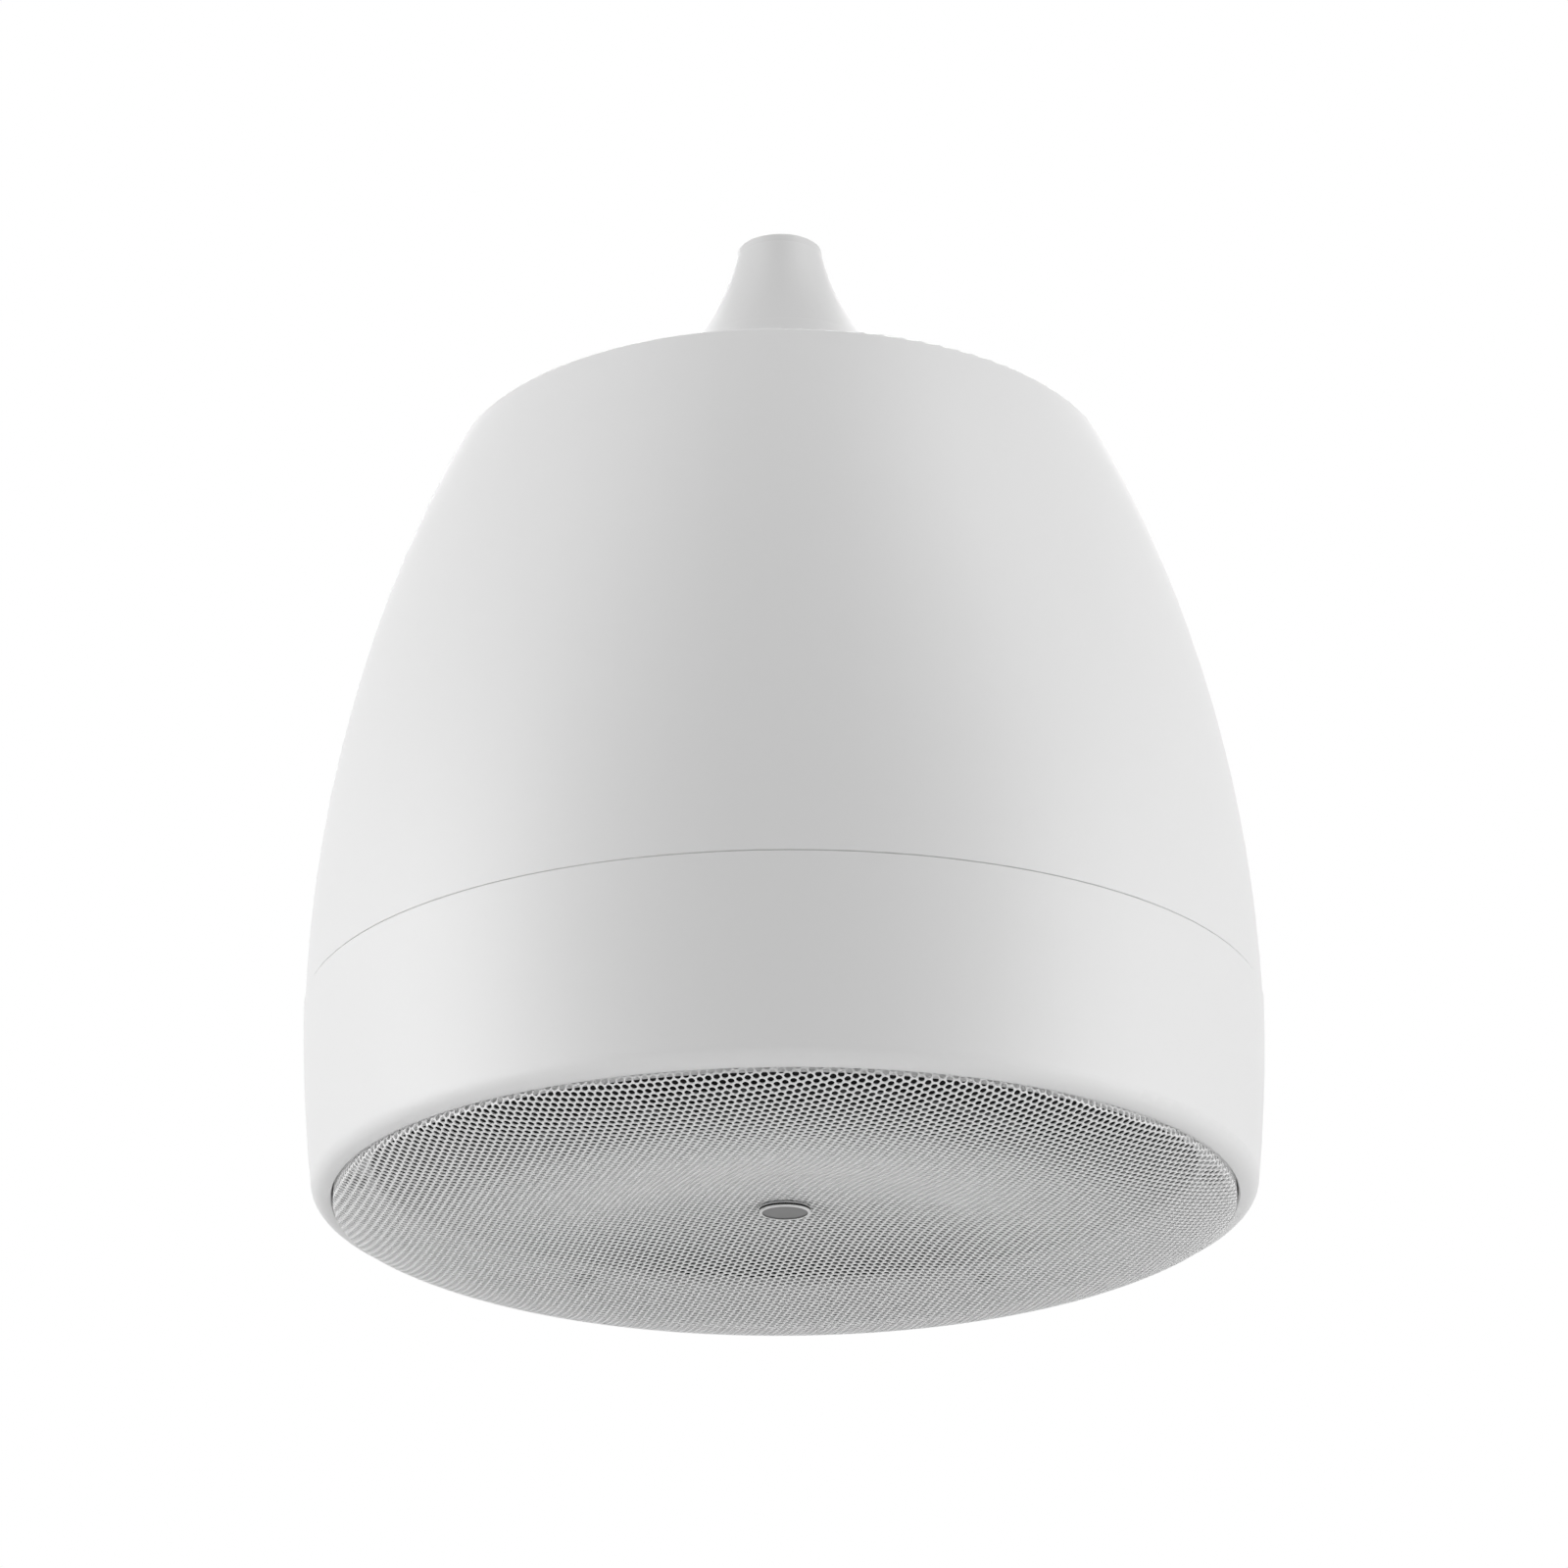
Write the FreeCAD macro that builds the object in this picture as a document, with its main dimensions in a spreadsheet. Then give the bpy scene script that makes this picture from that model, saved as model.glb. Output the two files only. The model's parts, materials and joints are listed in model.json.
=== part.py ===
import FreeCAD, Part
import math
import os

import Sketcher

# A ceiling-hung loudspeaker: a bell-shaped cabinet, a perforated steel grille, a two-way driver,
# and a flared cover over its suspension point. Lengths are in millimetres, angles in degrees.
# Heights in the sheet are counted upwards from the plane of the grille opening.
# The origin of the finished part is the mouth of the suspension thread that it hangs from.

SIZES = {
    # Lower ring
    "opening_radius": 140.0,
    "ring_height": 61.5,
    "ring_flare": 10.2,
    "ring_bow_radius": 535.0,
    "ring_bow_height": 68.2,
    "ring_wall": 3.0,
    "lip_round": 5.6,
    "lip_drop": 0.3,
    "lip_inner_round": 0.5,
    "ledge_reach": 12.0,
    "ledge_thickness": 3.0,
    # Upper shell
    "ring_edge_round": 0.4,
    "seam_gap": 0.4,
    "seam_step": 0.34,
    "shell_height": 250.0,
    "shell_top_inset": 33.48,
    "shell_bow_height": 55.8,
    "shell_wall": 3.0,
    "deck_thickness": 3.5,
    "shoulder_round": 2.5,
    "shoulder_inner_round": 2.0,
    "spigot_length": 8.6,
    "spigot_wall": 2.0,
    "spigot_gap": 0.3,
    "spigot_rim": 3.0,
    "seam_gasket_width": 1.9,
    "seam_reveal_depth": 0.6,
    # Shell screws and their bosses
    "shell_screw_inset": 7.0,
    "shell_screw_count": 6,
    "shell_screw_radius": 1.9,
    "shell_screw_head_radius": 3.6,
    "shell_screw_head_height": 2.6,
    "shell_screw_length": 34.0,
    "shell_boss_radius": 5.5,
    "shell_boss_top": 85.0,
    "boss_web_thickness": 3.0,
    "boss_web_bite": 1.0,
    "screw_clearance": 0.4,
    "pilot_clearance": 0.05,
    "pilot_extra_depth": 2.0,
    # Grille, badge and their fixings
    "grille_sheet": 0.5,
    "grille_gap": 0.6,
    "grille_crest_inset": 34.9,
    "grille_crest_depth": 10.7,
    "grille_turn_share": 0.533,
    "grille_skirt_radius": 73.8,
    "grille_bend_radius": 1.5,
    "grille_edge_height": 8.0,
    "grille_hole_radius": 8.0,
    "grille_hole_pitch": 23.0,
    "grille_hole_angle": 44.5,
    "grille_hole_margin": 8.0,
    "grille_gasket_thickness": 2.0,
    "grille_gasket_width": 0.8,
    "seat_clearance": 0.6,
    "seat_width": 1.4,
    "seat_drop": 0.6,
    "badge_radius": 8.0,
    "badge_thickness": 1.5,
    "badge_stand_off": 0.6,
    "badge_rim_width": 0.9,
    "badge_rim_height": 0.25,
    "badge_foot_radius": 3.5,
    "badge_foot_gap": 0.06,
    "badge_stud_radius": 1.5,
    "badge_stud_length": 4.0,
    "badge_stud_clearance": 0.1,
    "badge_clip_radius": 4.5,
    "badge_clip_thickness": 0.4,
    # Baffle, lining and port
    "baffle_gasket_thickness": 1.0,
    "baffle_thickness": 5.0,
    "baffle_edge_gap": 0.4,
    "baffle_cutout_radius": 72.6,
    "port_inset": 33.0,
    "port_radius": 14.0,
    "port_wall": 2.0,
    "port_length": 82.0,
    "port_flange_width": 3.0,
    "port_flange_thickness": 1.8,
    "port_mouth_round": 1.5,
    "port_clearance": 0.1,
    "lining_gap": 0.3,
    "lining_thickness": 12.0,
    "lining_low": 92.0,
    "lining_top_gap": 31.5,
    # Woofer frame
    "woofer_gasket_thickness": 0.8,
    "basket_sheet": 1.2,
    "basket_flange_radius": 83.5,
    "basket_clearance": 0.7,
    "basket_depth": 44.8,
    "basket_waist_radius": 39.2,
    "basket_bore_radius": 22.0,
    "spider_shelf_height": 32.8,
    "spider_shelf_radius": 50.6,
    "window_count": 6,
    "window_angle": 42.0,
    "window_inner_radius": 53.5,
    "window_outer_radius": 69.0,
    "woofer_screw_circle": 80.0,
    "woofer_screw_count": 6,
    "woofer_screw_radius": 1.9,
    "woofer_screw_head_radius": 2.8,
    "woofer_screw_head_height": 2.4,
    "woofer_screw_length": 6.5,
    # Moving cone with its two suspensions
    "surround_sheet": 0.8,
    "surround_land": 4.8,
    "surround_outer_radius": 72.0,
    "surround_roll": 14.0,
    "trim_thickness": 1.5,
    "trim_inset": 0.5,
    "cone_sheet": 1.0,
    "cone_rim_width": 3.6,
    "cone_depth": 26.5,
    "cone_bow_radius": 120.0,
    "cone_edge_gap": 0.2,
    "former_radius": 16.2,
    "former_wall": 0.4,
    "former_length": 29.5,
    "former_start": 25.5,
    "winding_thickness": 0.6,
    "winding_length": 10.0,
    "glue_gap": 0.1,
    "spider_glue_gap": 0.3,
    "spider_sheet": 0.6,
    "spider_wave": 1.2,
    "spider_waves": 4,
    "spider_land_overlap": 0.6,
    "spider_collar": 2.0,
    # Motor
    "coil_gap": 0.5,
    "top_plate_thickness": 6.0,
    "top_plate_radius": 42.0,
    "magnet_thickness": 15.0,
    "magnet_radius": 45.0,
    "magnet_bore_radius": 24.0,
    "back_plate_thickness": 6.0,
    "back_plate_radius": 42.0,
    "pole_reach": 0.5,
    "pole_bore_radius": 5.05,
    # Tweeter on its post
    "post_radius": 7.0,
    "post_core_radius": 5.0,
    "post_wire_radius": 2.5,
    "post_foot_radius": 9.0,
    "post_foot_thickness": 2.0,
    "post_overrun": 1.0,
    "post_nut_radius": 9.0,
    "post_nut_thickness": 5.0,
    "tweeter_radius": 21.0,
    "tweeter_front": 7.0,
    "tweeter_depth": 15.0,
    "tweeter_wall": 2.0,
    "tweeter_floor": 2.0,
    "tweeter_seat_width": 3.0,
    "faceplate_rim": 2.0,
    "faceplate_chamfer": 0.5,
    "faceplate_plug": 2.8,
    "faceplate_throat_radius": 12.0,
    "faceplate_flare_width": 6.0,
    "faceplate_flare_round": 7.2,
    "faceplate_throat_lip": 1.2,
    "faceplate_gap": 0.2,
    "dome_radius": 10.5,
    "dome_rise": 3.0,
    "dome_sheet": 0.4,
    "tweeter_magnet_radius": 14.0,
    "tweeter_magnet_gap": 0.4,
    # Suspension under the cover
    "hanger_plate_thickness": 3.2,
    "hanger_plate_inset": 14.52,
    "hanger_screw_inset": 18.3,
    "hanger_screw_radius": 2.5,
    "hanger_screw_head_radius": 4.5,
    "hanger_screw_head_height": 3.0,
    "boss_radius": 12.0,
    "boss_rise": 12.0,
    "boss_flange_radius": 20.0,
    "boss_flange_thickness": 4.0,
    "boss_clearance": 0.2,
    "boss_chamfer": 0.8,
    "thread_core_radius": 4.25,
    "thread_depth": 16.0,
    "boss_nut_radius": 19.0,
    "boss_nut_thickness": 6.0,
    "nut_clearance": 0.05,
    "eye_offset": 38.0,
    "eye_shank_radius": 3.0,
    "eye_collar_radius": 6.0,
    "eye_collar_thickness": 2.0,
    "eye_ring_radius": 8.0,
    "eye_wire_radius": 2.5,
    "eye_sink": 0.8,
    "eye_nut_radius": 5.8,
    "eye_nut_thickness": 5.0,
    # Terminal block
    "terminal_offset": 42.0,
    "terminal_width": 14.0,
    "terminal_length": 32.0,
    "terminal_height": 14.0,
    "terminal_ways": 4,
    "terminal_pitch": 7.5,
    "terminal_flange_width": 16.0,
    "terminal_flange_length": 48.0,
    "terminal_flange_thickness": 2.0,
    "terminal_tail_width": 8.0,
    "terminal_tail_length": 28.0,
    "terminal_tail_gap": 0.5,
    "terminal_entry_width": 5.0,
    "terminal_entry_height": 5.0,
    "terminal_entry_depth": 6.0,
    "terminal_entry_sill": 1.5,
    "terminal_screw_spacing": 41.0,
    "terminal_screw_radius": 1.4,
    "terminal_screw_head_radius": 2.6,
    "terminal_screw_head_height": 1.8,
    "clamp_screw_radius": 1.8,
    "clamp_screw_depth": 5.0,
    "clamp_screw_sink": 0.8,
    # Crossover
    "board_length": 110.0,
    "board_width": 50.0,
    "board_thickness": 1.6,
    "board_inset": 47.0,
    "board_corner_round": 3.0,
    "board_hole_inset": 5.0,
    "standoff_height": 12.0,
    "standoff_radius": 3.5,
    "board_screw_radius": 1.4,
    "board_screw_head_radius": 2.8,
    "board_screw_head_height": 2.0,
    "inductor_radius": 15.0,
    "inductor_bore_radius": 6.0,
    "inductor_height": 14.0,
    "inductor_cheek": 1.5,
    "inductor_cheek_rise": 2.0,
    "inductor_place": 30.0,
    "capacitor_radius": 7.0,
    "capacitor_length": 28.0,
    "capacitor_gap": 2.0,
    "resistor_length": 22.0,
    "resistor_width": 9.0,
    "resistor_chamfer": 0.8,
    "resistor_place": 40.0,
    # Line transformer
    "transformer_offset": 48.0,
    "core_width": 54.0,
    "core_height": 45.0,
    "core_stack": 22.0,
    "core_leg": 18.0,
    "core_window": 9.0,
    "winding_overhang": 6.0,
    "winding_gap": 0.3,
    "strap_sheet": 1.2,
    "strap_foot": 12.0,
    "strap_gap": 0.1,
    "strap_screw_radius": 1.9,
    "strap_screw_head_radius": 3.4,
    "strap_screw_head_height": 2.2,
    # Flared cover
    "cover_rise": 81.5,
    "cover_base_radius": 80.3,
    "cover_neck_radius": 14.1,
    "cover_neck_height": 2.9,
    "cover_neck_taper": 0.25,
    "cover_flare_share": 1.1043,
    "cover_flare_top": 12.84,
    "cover_flare_turn": 40.0,
    "cover_edge_height": 1.2,
    "cover_wall": 2.2,
    "cover_lip_round": 0.8,
    "cover_bore_radius": 11.5,
    "cover_bore_length": 7.5,
    "cover_bore_taper": 2.0,
    "cover_rib_width": 1.6,
    "cover_rib_depth": 1.4,
    "cover_rib_inset": 3.0,
    "cover_rib_gap": 0.15,
}

# Heights and radii that follow from the sizes above
DERIVED = {
    # Rings, shell and baffle, from the opening outwards
    "grille_rim_radius": "opening_radius - grille_gap",
    "seat_outer_radius": "grille_rim_radius - grille_sheet - seat_clearance",
    "grille_crest_radius": "opening_radius - grille_crest_inset",
    "grille_turn_radius": "grille_crest_radius * grille_turn_share",
    "ledge_inner_radius": "opening_radius - ledge_reach",
    "shell_screw_circle": "opening_radius - shell_screw_inset",
    "port_circle": "opening_radius - port_inset",
    "ring_top_radius": "opening_radius + ring_flare",
    "shell_seam_radius": "ring_top_radius - seam_step",
    "shell_top_radius": "opening_radius - shell_top_inset",
    "shell_low": "ring_height + seam_gap",
    "shell_foot": "shell_low - shell_bow_height",
    "shell_head": "shell_height - shell_bow_height",
    "shell_bow_middle": (
        "(shell_seam_radius^2 - shell_top_radius^2 + shell_foot^2 - shell_head^2)"
        " / (2 * (shell_seam_radius - shell_top_radius))"
    ),
    "shell_bow_radius": "sqrt((shell_seam_radius - shell_bow_middle)^2 + shell_foot^2)",
    "ledge_low": "grille_edge_height + grille_gasket_thickness",
    "ledge_top": "ledge_low + ledge_thickness",
    "baffle_low": "ledge_top + baffle_gasket_thickness",
    "baffle_top": "baffle_low + baffle_thickness",
    "deck_low": "shell_height - deck_thickness",
    "lining_high": "deck_low - lining_top_gap",
    # Driver
    "flange_top": "baffle_low - woofer_gasket_thickness",
    "flange_low": "flange_top - basket_sheet",
    "surround_low": "flange_low - surround_sheet",
    "surround_inner_radius": "surround_outer_radius - surround_roll",
    "shelf_low": "flange_low + spider_shelf_height",
    "motor_low": "flange_top + basket_depth",
    "magnet_low": "motor_low + top_plate_thickness",
    "back_low": "magnet_low + magnet_thickness",
    "back_top": "back_low + back_plate_thickness",
    "pole_low": "motor_low - pole_reach",
    "former_outer_radius": "former_radius + former_wall",
    "winding_outer_radius": "former_outer_radius + winding_thickness",
    "tweeter_back": "tweeter_front + tweeter_depth",
    # Under the deck and on it
    "hanger_plate_radius": "shell_top_radius - hanger_plate_inset",
    "hanger_screw_circle": "cover_base_radius - hanger_screw_inset",
    "board_offset": "hanger_plate_radius - board_inset",
    "plate_low": "deck_low - hanger_plate_thickness",
    "board_top": "plate_low - standoff_height",
    "board_low": "board_top - board_thickness",
    "thread_mouth": "shell_height + boss_rise",
    # Flared cover: two arcs that meet where the flare turns, both with their middles outside the cover
    "cover_height": "shell_height + cover_rise",
    "cover_edge": "shell_height + cover_edge_height",
    "cover_flare_radius": "cover_rise * cover_flare_share",
    "flare_height": "cover_height - cover_neck_height + cover_flare_radius * sin(cover_flare_top)",
    "flare_across": "cover_neck_radius + cover_neck_taper + cover_flare_radius * cos(cover_flare_top)",
    "flare_out": "flare_across - cover_base_radius",
    "flare_up": "flare_height - cover_edge",
    "flare_lean": "flare_out * cos(cover_flare_turn) + flare_up * sin(cover_flare_turn)",
    "cover_skirt_radius": (
        "(flare_out^2 + flare_up^2 - 2 * cover_flare_radius * flare_lean + cover_flare_radius^2)"
        " / (2 * (cover_flare_radius - flare_lean))"
    ),
    "skirt_across": "flare_across + (cover_skirt_radius - cover_flare_radius) * cos(cover_flare_turn)",
    "skirt_height": "flare_height + (cover_skirt_radius - cover_flare_radius) * sin(cover_flare_turn)",
}

doc = FreeCAD.newDocument("pendant_speaker")
sheet = doc.addObject("Spreadsheet::Sheet", "Dim")
for row, (alias, size) in enumerate({**SIZES, **DERIVED}.items(), start=1):
    sheet.set(f"A{row}", alias.replace("_", " "))
    sheet.setAlias(f"B{row}", alias)
    sheet.set(f"B{row}", f"={size}" if alias in DERIVED else str(size))
doc.recompute()


def dim(text):
    """Turn the words of a formula that name a size into cells of the sheet."""
    words = []
    word = ""
    for mark in text + " ":
        if mark.isalnum() or mark in "_.":
            word += mark
            continue
        known = word in SIZES or word in DERIVED
        words.append(f"Dim.{word}" if known else word)
        words.append(mark)
        word = ""
    return "".join(words).strip()


def number(formula):
    """The present value of a formula over the sheet."""
    found = sheet.evalExpression(dim(formula))
    return float(getattr(found, "Value", found))


class Bow:
    """A tall arc of an outer wall, known by its radius, its widest height and one point on it."""

    def __init__(self, radius, widest, point_radius, point_height):
        self.radius = radius
        self.widest = widest
        self.middle = f"({point_radius} - sqrt({radius}^2 - ({point_height} - {widest})^2))"

    def at(self, height, inset="0"):
        """The radius of the wall, or of a face inset from it, at a height."""
        return f"({self.middle} + sqrt(({self.radius} - {inset})^2 - ({height} - {self.widest})^2))"

    def corner(self, level, rounding, upwards, inset="0"):
        """Where a rounding starts on this wall and where it ends on a flat face at a level."""
        arc = f"({self.radius} - {inset})"
        height = f"({level} - {rounding})" if upwards else f"({level} + {rounding})"
        across = f"sqrt(({arc} - {rounding})^2 - ({height} - {self.widest})^2)"
        grow = f"{arc} / ({arc} - {rounding})"
        wall_across = f"({self.middle} + {across} * {grow})"
        wall_up = f"({self.widest} + ({height} - {self.widest}) * {grow})"
        return (wall_across, wall_up), (f"({self.middle} + {across})", level)


SHELL_BOW = Bow("shell_bow_radius", "shell_bow_height", "shell_seam_radius", "shell_low")
RING_BOW = Bow("ring_bow_radius", "ring_bow_height", "ring_top_radius", "ring_height")


def on_arc(across, height, radius, level):
    """The radius, at a level, of an arc whose middle lies outside the cover."""
    return f"({across} - sqrt({radius}^2 - ({height} - {level})^2))"


# Where the hanger plate is screwed to the deck
PLATE_ANGLES = (45, 135, 225, 315)


def new_body(label, height="0", across="0", away="0"):
    """A body whose own zero lies at a height above the opening plane."""
    piece = doc.addObject("PartDesign::Body", label)
    piece.Label = label
    piece.AllowCompound = True
    piece.setExpression("Placement.Base.x", dim(across))
    piece.setExpression("Placement.Base.y", dim(away))
    piece.setExpression("Placement.Base.z", dim(f"{height} - thread_mouth"))
    return piece


def new_sketch(piece, name, plane="XZ_Plane", offset="0"):
    """A sketch on one of the body's own planes, moved along that plane's normal."""
    sketch = piece.newObject("Sketcher::SketchObject", name)
    support = next(o for o in piece.Origin.OriginFeatures if o.Role == plane)
    sketch.AttachmentSupport = [(support, "")]
    sketch.MapMode = "FlatFace"
    sketch.setExpression("AttachmentOffset.Base.z", dim(offset))
    return sketch


def fix(sketch, constraints):
    """Add constraints, and tie each one that has a formula to the sheet."""
    first = len(sketch.Constraints)
    sketch.addConstraint([constraint for constraint, _ in constraints])
    for index, (_, formula) in enumerate(constraints, start=first):
        if formula is not None:
            sketch.setExpression(f"Constraints[{index}]", dim(formula))


def outline(sketch, corners):
    """Close an outline. A corner is (across, up), or (across, up, radius, side) where an arc ends there.

    The side is 1 where the arc's middle lies left of the way to the corner, and -1 where it lies right.
    """
    points = [FreeCAD.Vector(number(c[0]), number(c[1]), 0) for c in corners]
    first = len(sketch.Geometry)
    edges = []
    ends = []
    for index, corner in enumerate(corners):
        start, stop = points[index - 1], points[index]
        if len(corner) == 2:
            edges.append(Part.LineSegment(start, stop))
            ends.append((1, 2))
            continue
        radius, side = number(corner[2]), corner[3]
        chord = stop - start
        left = FreeCAD.Vector(-chord.y, chord.x, 0).normalize()
        reach = math.sqrt(max(radius**2 - (chord.Length / 2) ** 2, 0))
        middle = (start + stop) * 0.5 + left * (reach * side)
        turns = [math.atan2(p.y - middle.y, p.x - middle.x) for p in (start, stop)]
        turns = turns if side == 1 else turns[::-1]
        circle = Part.Circle(middle, FreeCAD.Vector(0, 0, 1), radius)
        edges.append(Part.ArcOfCircle(circle, *turns))
        ends.append((1, 2) if side == 1 else (2, 1))
    sketch.addGeometry(edges, False)
    rules = []
    for index, corner in enumerate(corners):
        edge = first + index
        following = first + (index + 1) % len(corners)
        begin = ends[(index + 1) % len(corners)][0]
        rules.append((Sketcher.Constraint("Coincident", edge, ends[index][1], following, begin), None))
        across = Sketcher.Constraint("DistanceX", -1, 1, edge, ends[index][1], points[index].x)
        up = Sketcher.Constraint("DistanceY", -1, 1, edge, ends[index][1], points[index].y)
        rules += [(across, corner[0]), (up, corner[1])]
        if len(corner) > 2:
            rules.append((Sketcher.Constraint("Radius", edge, number(corner[2])), corner[2]))
    fix(sketch, rules)


def circles(sketch, places):
    """Draw circles, each given as (across, up, radius)."""
    for across, up, radius in places:
        middle = FreeCAD.Vector(number(across), number(up), 0)
        edge = sketch.addGeometry(Part.Circle(middle, FreeCAD.Vector(0, 0, 1), number(radius)), False)
        fix(
            sketch,
            [
                (Sketcher.Constraint("DistanceX", -1, 1, edge, 3, middle.x), across),
                (Sketcher.Constraint("DistanceY", -1, 1, edge, 3, middle.y), up),
                (Sketcher.Constraint("Radius", edge, number(radius)), radius),
            ],
        )


def block(across, up, width, height):
    """The four corners of a rectangle about a middle point."""
    return [
        (f"{across} - ({width}) / 2", f"{up} - ({height}) / 2"),
        (f"{across} + ({width}) / 2", f"{up} - ({height}) / 2"),
        (f"{across} + ({width}) / 2", f"{up} + ({height}) / 2"),
        (f"{across} - ({width}) / 2", f"{up} + ({height}) / 2"),
    ]


def hexagon(radius, across="0", up="0"):
    """The corners of a hexagon that fits in a circle of a radius."""
    return [(f"{across} + {radius} * cos({60 * k})", f"{up} + {radius} * sin({60 * k})") for k in range(6)]


def turn(piece, corners, name="section"):
    """Revolve a section about the body's upright axis."""
    sketch = new_sketch(piece, f"{piece.Name}_{name}")
    outline(sketch, corners)
    feature = piece.newObject("PartDesign::Revolution", f"{piece.Name}_{name}_turned")
    feature.Profile = sketch
    feature.ReferenceAxis = (sketch, ["V_Axis"])
    feature.Angle = 360
    doc.recompute()
    return feature


def pad(piece, name, low, height, rounds=(), outlines=()):
    """Raise flat outlines by a height, from a level that is given in the body's own heights."""
    sketch = new_sketch(piece, f"{piece.Name}_{name}", "XY_Plane", low)
    circles(sketch, rounds)
    for corners in outlines:
        outline(sketch, corners)
    feature = piece.newObject("PartDesign::Pad", f"{piece.Name}_{name}_raised")
    feature.Profile = sketch
    feature.setExpression("Length", dim(height))
    doc.recompute()
    return feature


def pocket(piece, name, top, depth, rounds=(), outlines=()):
    """Cut flat outlines downwards by a depth, and make sure that the cut takes something away."""
    before = piece.Shape.Volume
    sketch = new_sketch(piece, f"{piece.Name}_{name}", "XY_Plane", top)
    circles(sketch, rounds)
    for corners in outlines:
        outline(sketch, corners)
    feature = piece.newObject("PartDesign::Pocket", f"{piece.Name}_{name}_cut")
    feature.Profile = sketch
    feature.setExpression("Length", dim(depth))
    doc.recompute()
    if piece.Shape.Volume >= before:
        raise RuntimeError(f"{feature.Name} cuts nothing")
    return feature


def around(piece, features, count):
    """Repeat features evenly about the body's upright axis."""
    pattern = piece.newObject("PartDesign::PolarPattern", f"{piece.Name}_{features[0].Name}_round")
    pattern.Originals = features
    pattern.Axis = (next(o for o in piece.Origin.OriginFeatures if o.Role == "Z_Axis"), [""])
    pattern.Angle = 360
    pattern.setExpression("Occurrences", dim(count))
    piece.Tip = pattern
    doc.recompute()
    return pattern


def washer(label, low, thickness, inner, outer, across="0", away="0"):
    """A flat ring."""
    piece = new_body(label, low, across, away)
    turn(piece, [(inner, "0"), (outer, "0"), (outer, thickness), (inner, thickness)])
    return piece


def ring_of_screws(label, face, circle, count, head_radius, head_height, shank_radius, length):
    """Screws whose heads lie under a face and whose shanks point up."""
    piece = new_body(label, face)
    head = pad(piece, "head", f"-{head_height}", head_height, [(circle, "0", head_radius)])
    shank = pad(piece, "shank", "0", length, [(circle, "0", shank_radius)])
    around(piece, [head, shank], count)
    return piece


def terminal_screw_places(radius):
    """The two screws of the terminal block, for circles of a radius."""
    return [("-terminal_offset", f"{side} * terminal_screw_spacing / 2", radius) for side in (-1, 1)]


def terminal_rows():
    """Where the ways of the terminal block lie along it."""
    ways = range(int(number("terminal_ways")))
    return [f"({k} - (terminal_ways - 1) / 2) * terminal_pitch" for k in ways]


def plate_screw_places(radius):
    """The screws of the hanger plate, for circles of a radius."""
    circle = "hanger_screw_circle"
    return [(f"{circle} * cos({a})", f"{circle} * sin({a})", radius) for a in PLATE_ANGLES]


def board_screw_places(radius, middle="board_offset"):
    """The four corner screws of the crossover board, for circles of a radius."""
    across = "(board_length / 2 - board_hole_inset)"
    away = "(board_width / 2 - board_hole_inset)"
    return [(f"{i} * {across}", f"{middle} + {j} * {away}", radius) for i in (-1, 1) for j in (-1, 1)]


def strap_screw_places(radius):
    """The two screws of the transformer's strap, for circles of a radius."""
    across = "(core_width / 2 + strap_sheet + strap_foot / 2)"
    return [(f"{side} * {across}", "-transformer_offset", radius) for side in (-1, 1)]


def tail_slot(gap="0"):
    """The outline of the terminal block's lower body, or of the slot that it passes with a gap."""
    return block(
        "-terminal_offset", "0", f"(terminal_tail_width + 2 * {gap})", f"(terminal_tail_length + 2 * {gap})"
    )


def build_lower_ring():
    lip_wall, lip_foot = RING_BOW.corner("-lip_drop", "lip_round", upwards=False)
    piece = new_body("lower_ring")
    turn(
        piece,
        [
            ("opening_radius", "lip_inner_round - lip_drop"),
            ("opening_radius + lip_inner_round", "-lip_drop", "lip_inner_round", 1),
            lip_foot,
            (*lip_wall, "lip_round", 1),
            (RING_BOW.at("ring_height - ring_edge_round"), "ring_height - ring_edge_round", "ring_bow_radius", 1),
            ("ring_top_radius - ring_edge_round", "ring_height", "ring_edge_round", 1),
            ("ring_top_radius - ring_wall", "ring_height"),
            (RING_BOW.at("ledge_top", "ring_wall"), "ledge_top", "ring_bow_radius - ring_wall", -1),
            ("ledge_inner_radius", "ledge_top"),
            ("ledge_inner_radius", "ledge_low"),
            ("seat_outer_radius - seat_width", "ledge_low"),
            ("seat_outer_radius - seat_width", "-seat_drop"),
            ("seat_outer_radius", "-seat_drop"),
            ("seat_outer_radius", "ledge_low"),
            ("opening_radius", "ledge_low"),
        ],
    )
    hole = [("shell_screw_circle", "0", "shell_screw_radius + screw_clearance")]
    holes = pocket(piece, "screw_hole", "ledge_top", "ledge_thickness", hole)
    around(piece, [holes], "shell_screw_count")
    return piece


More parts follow.
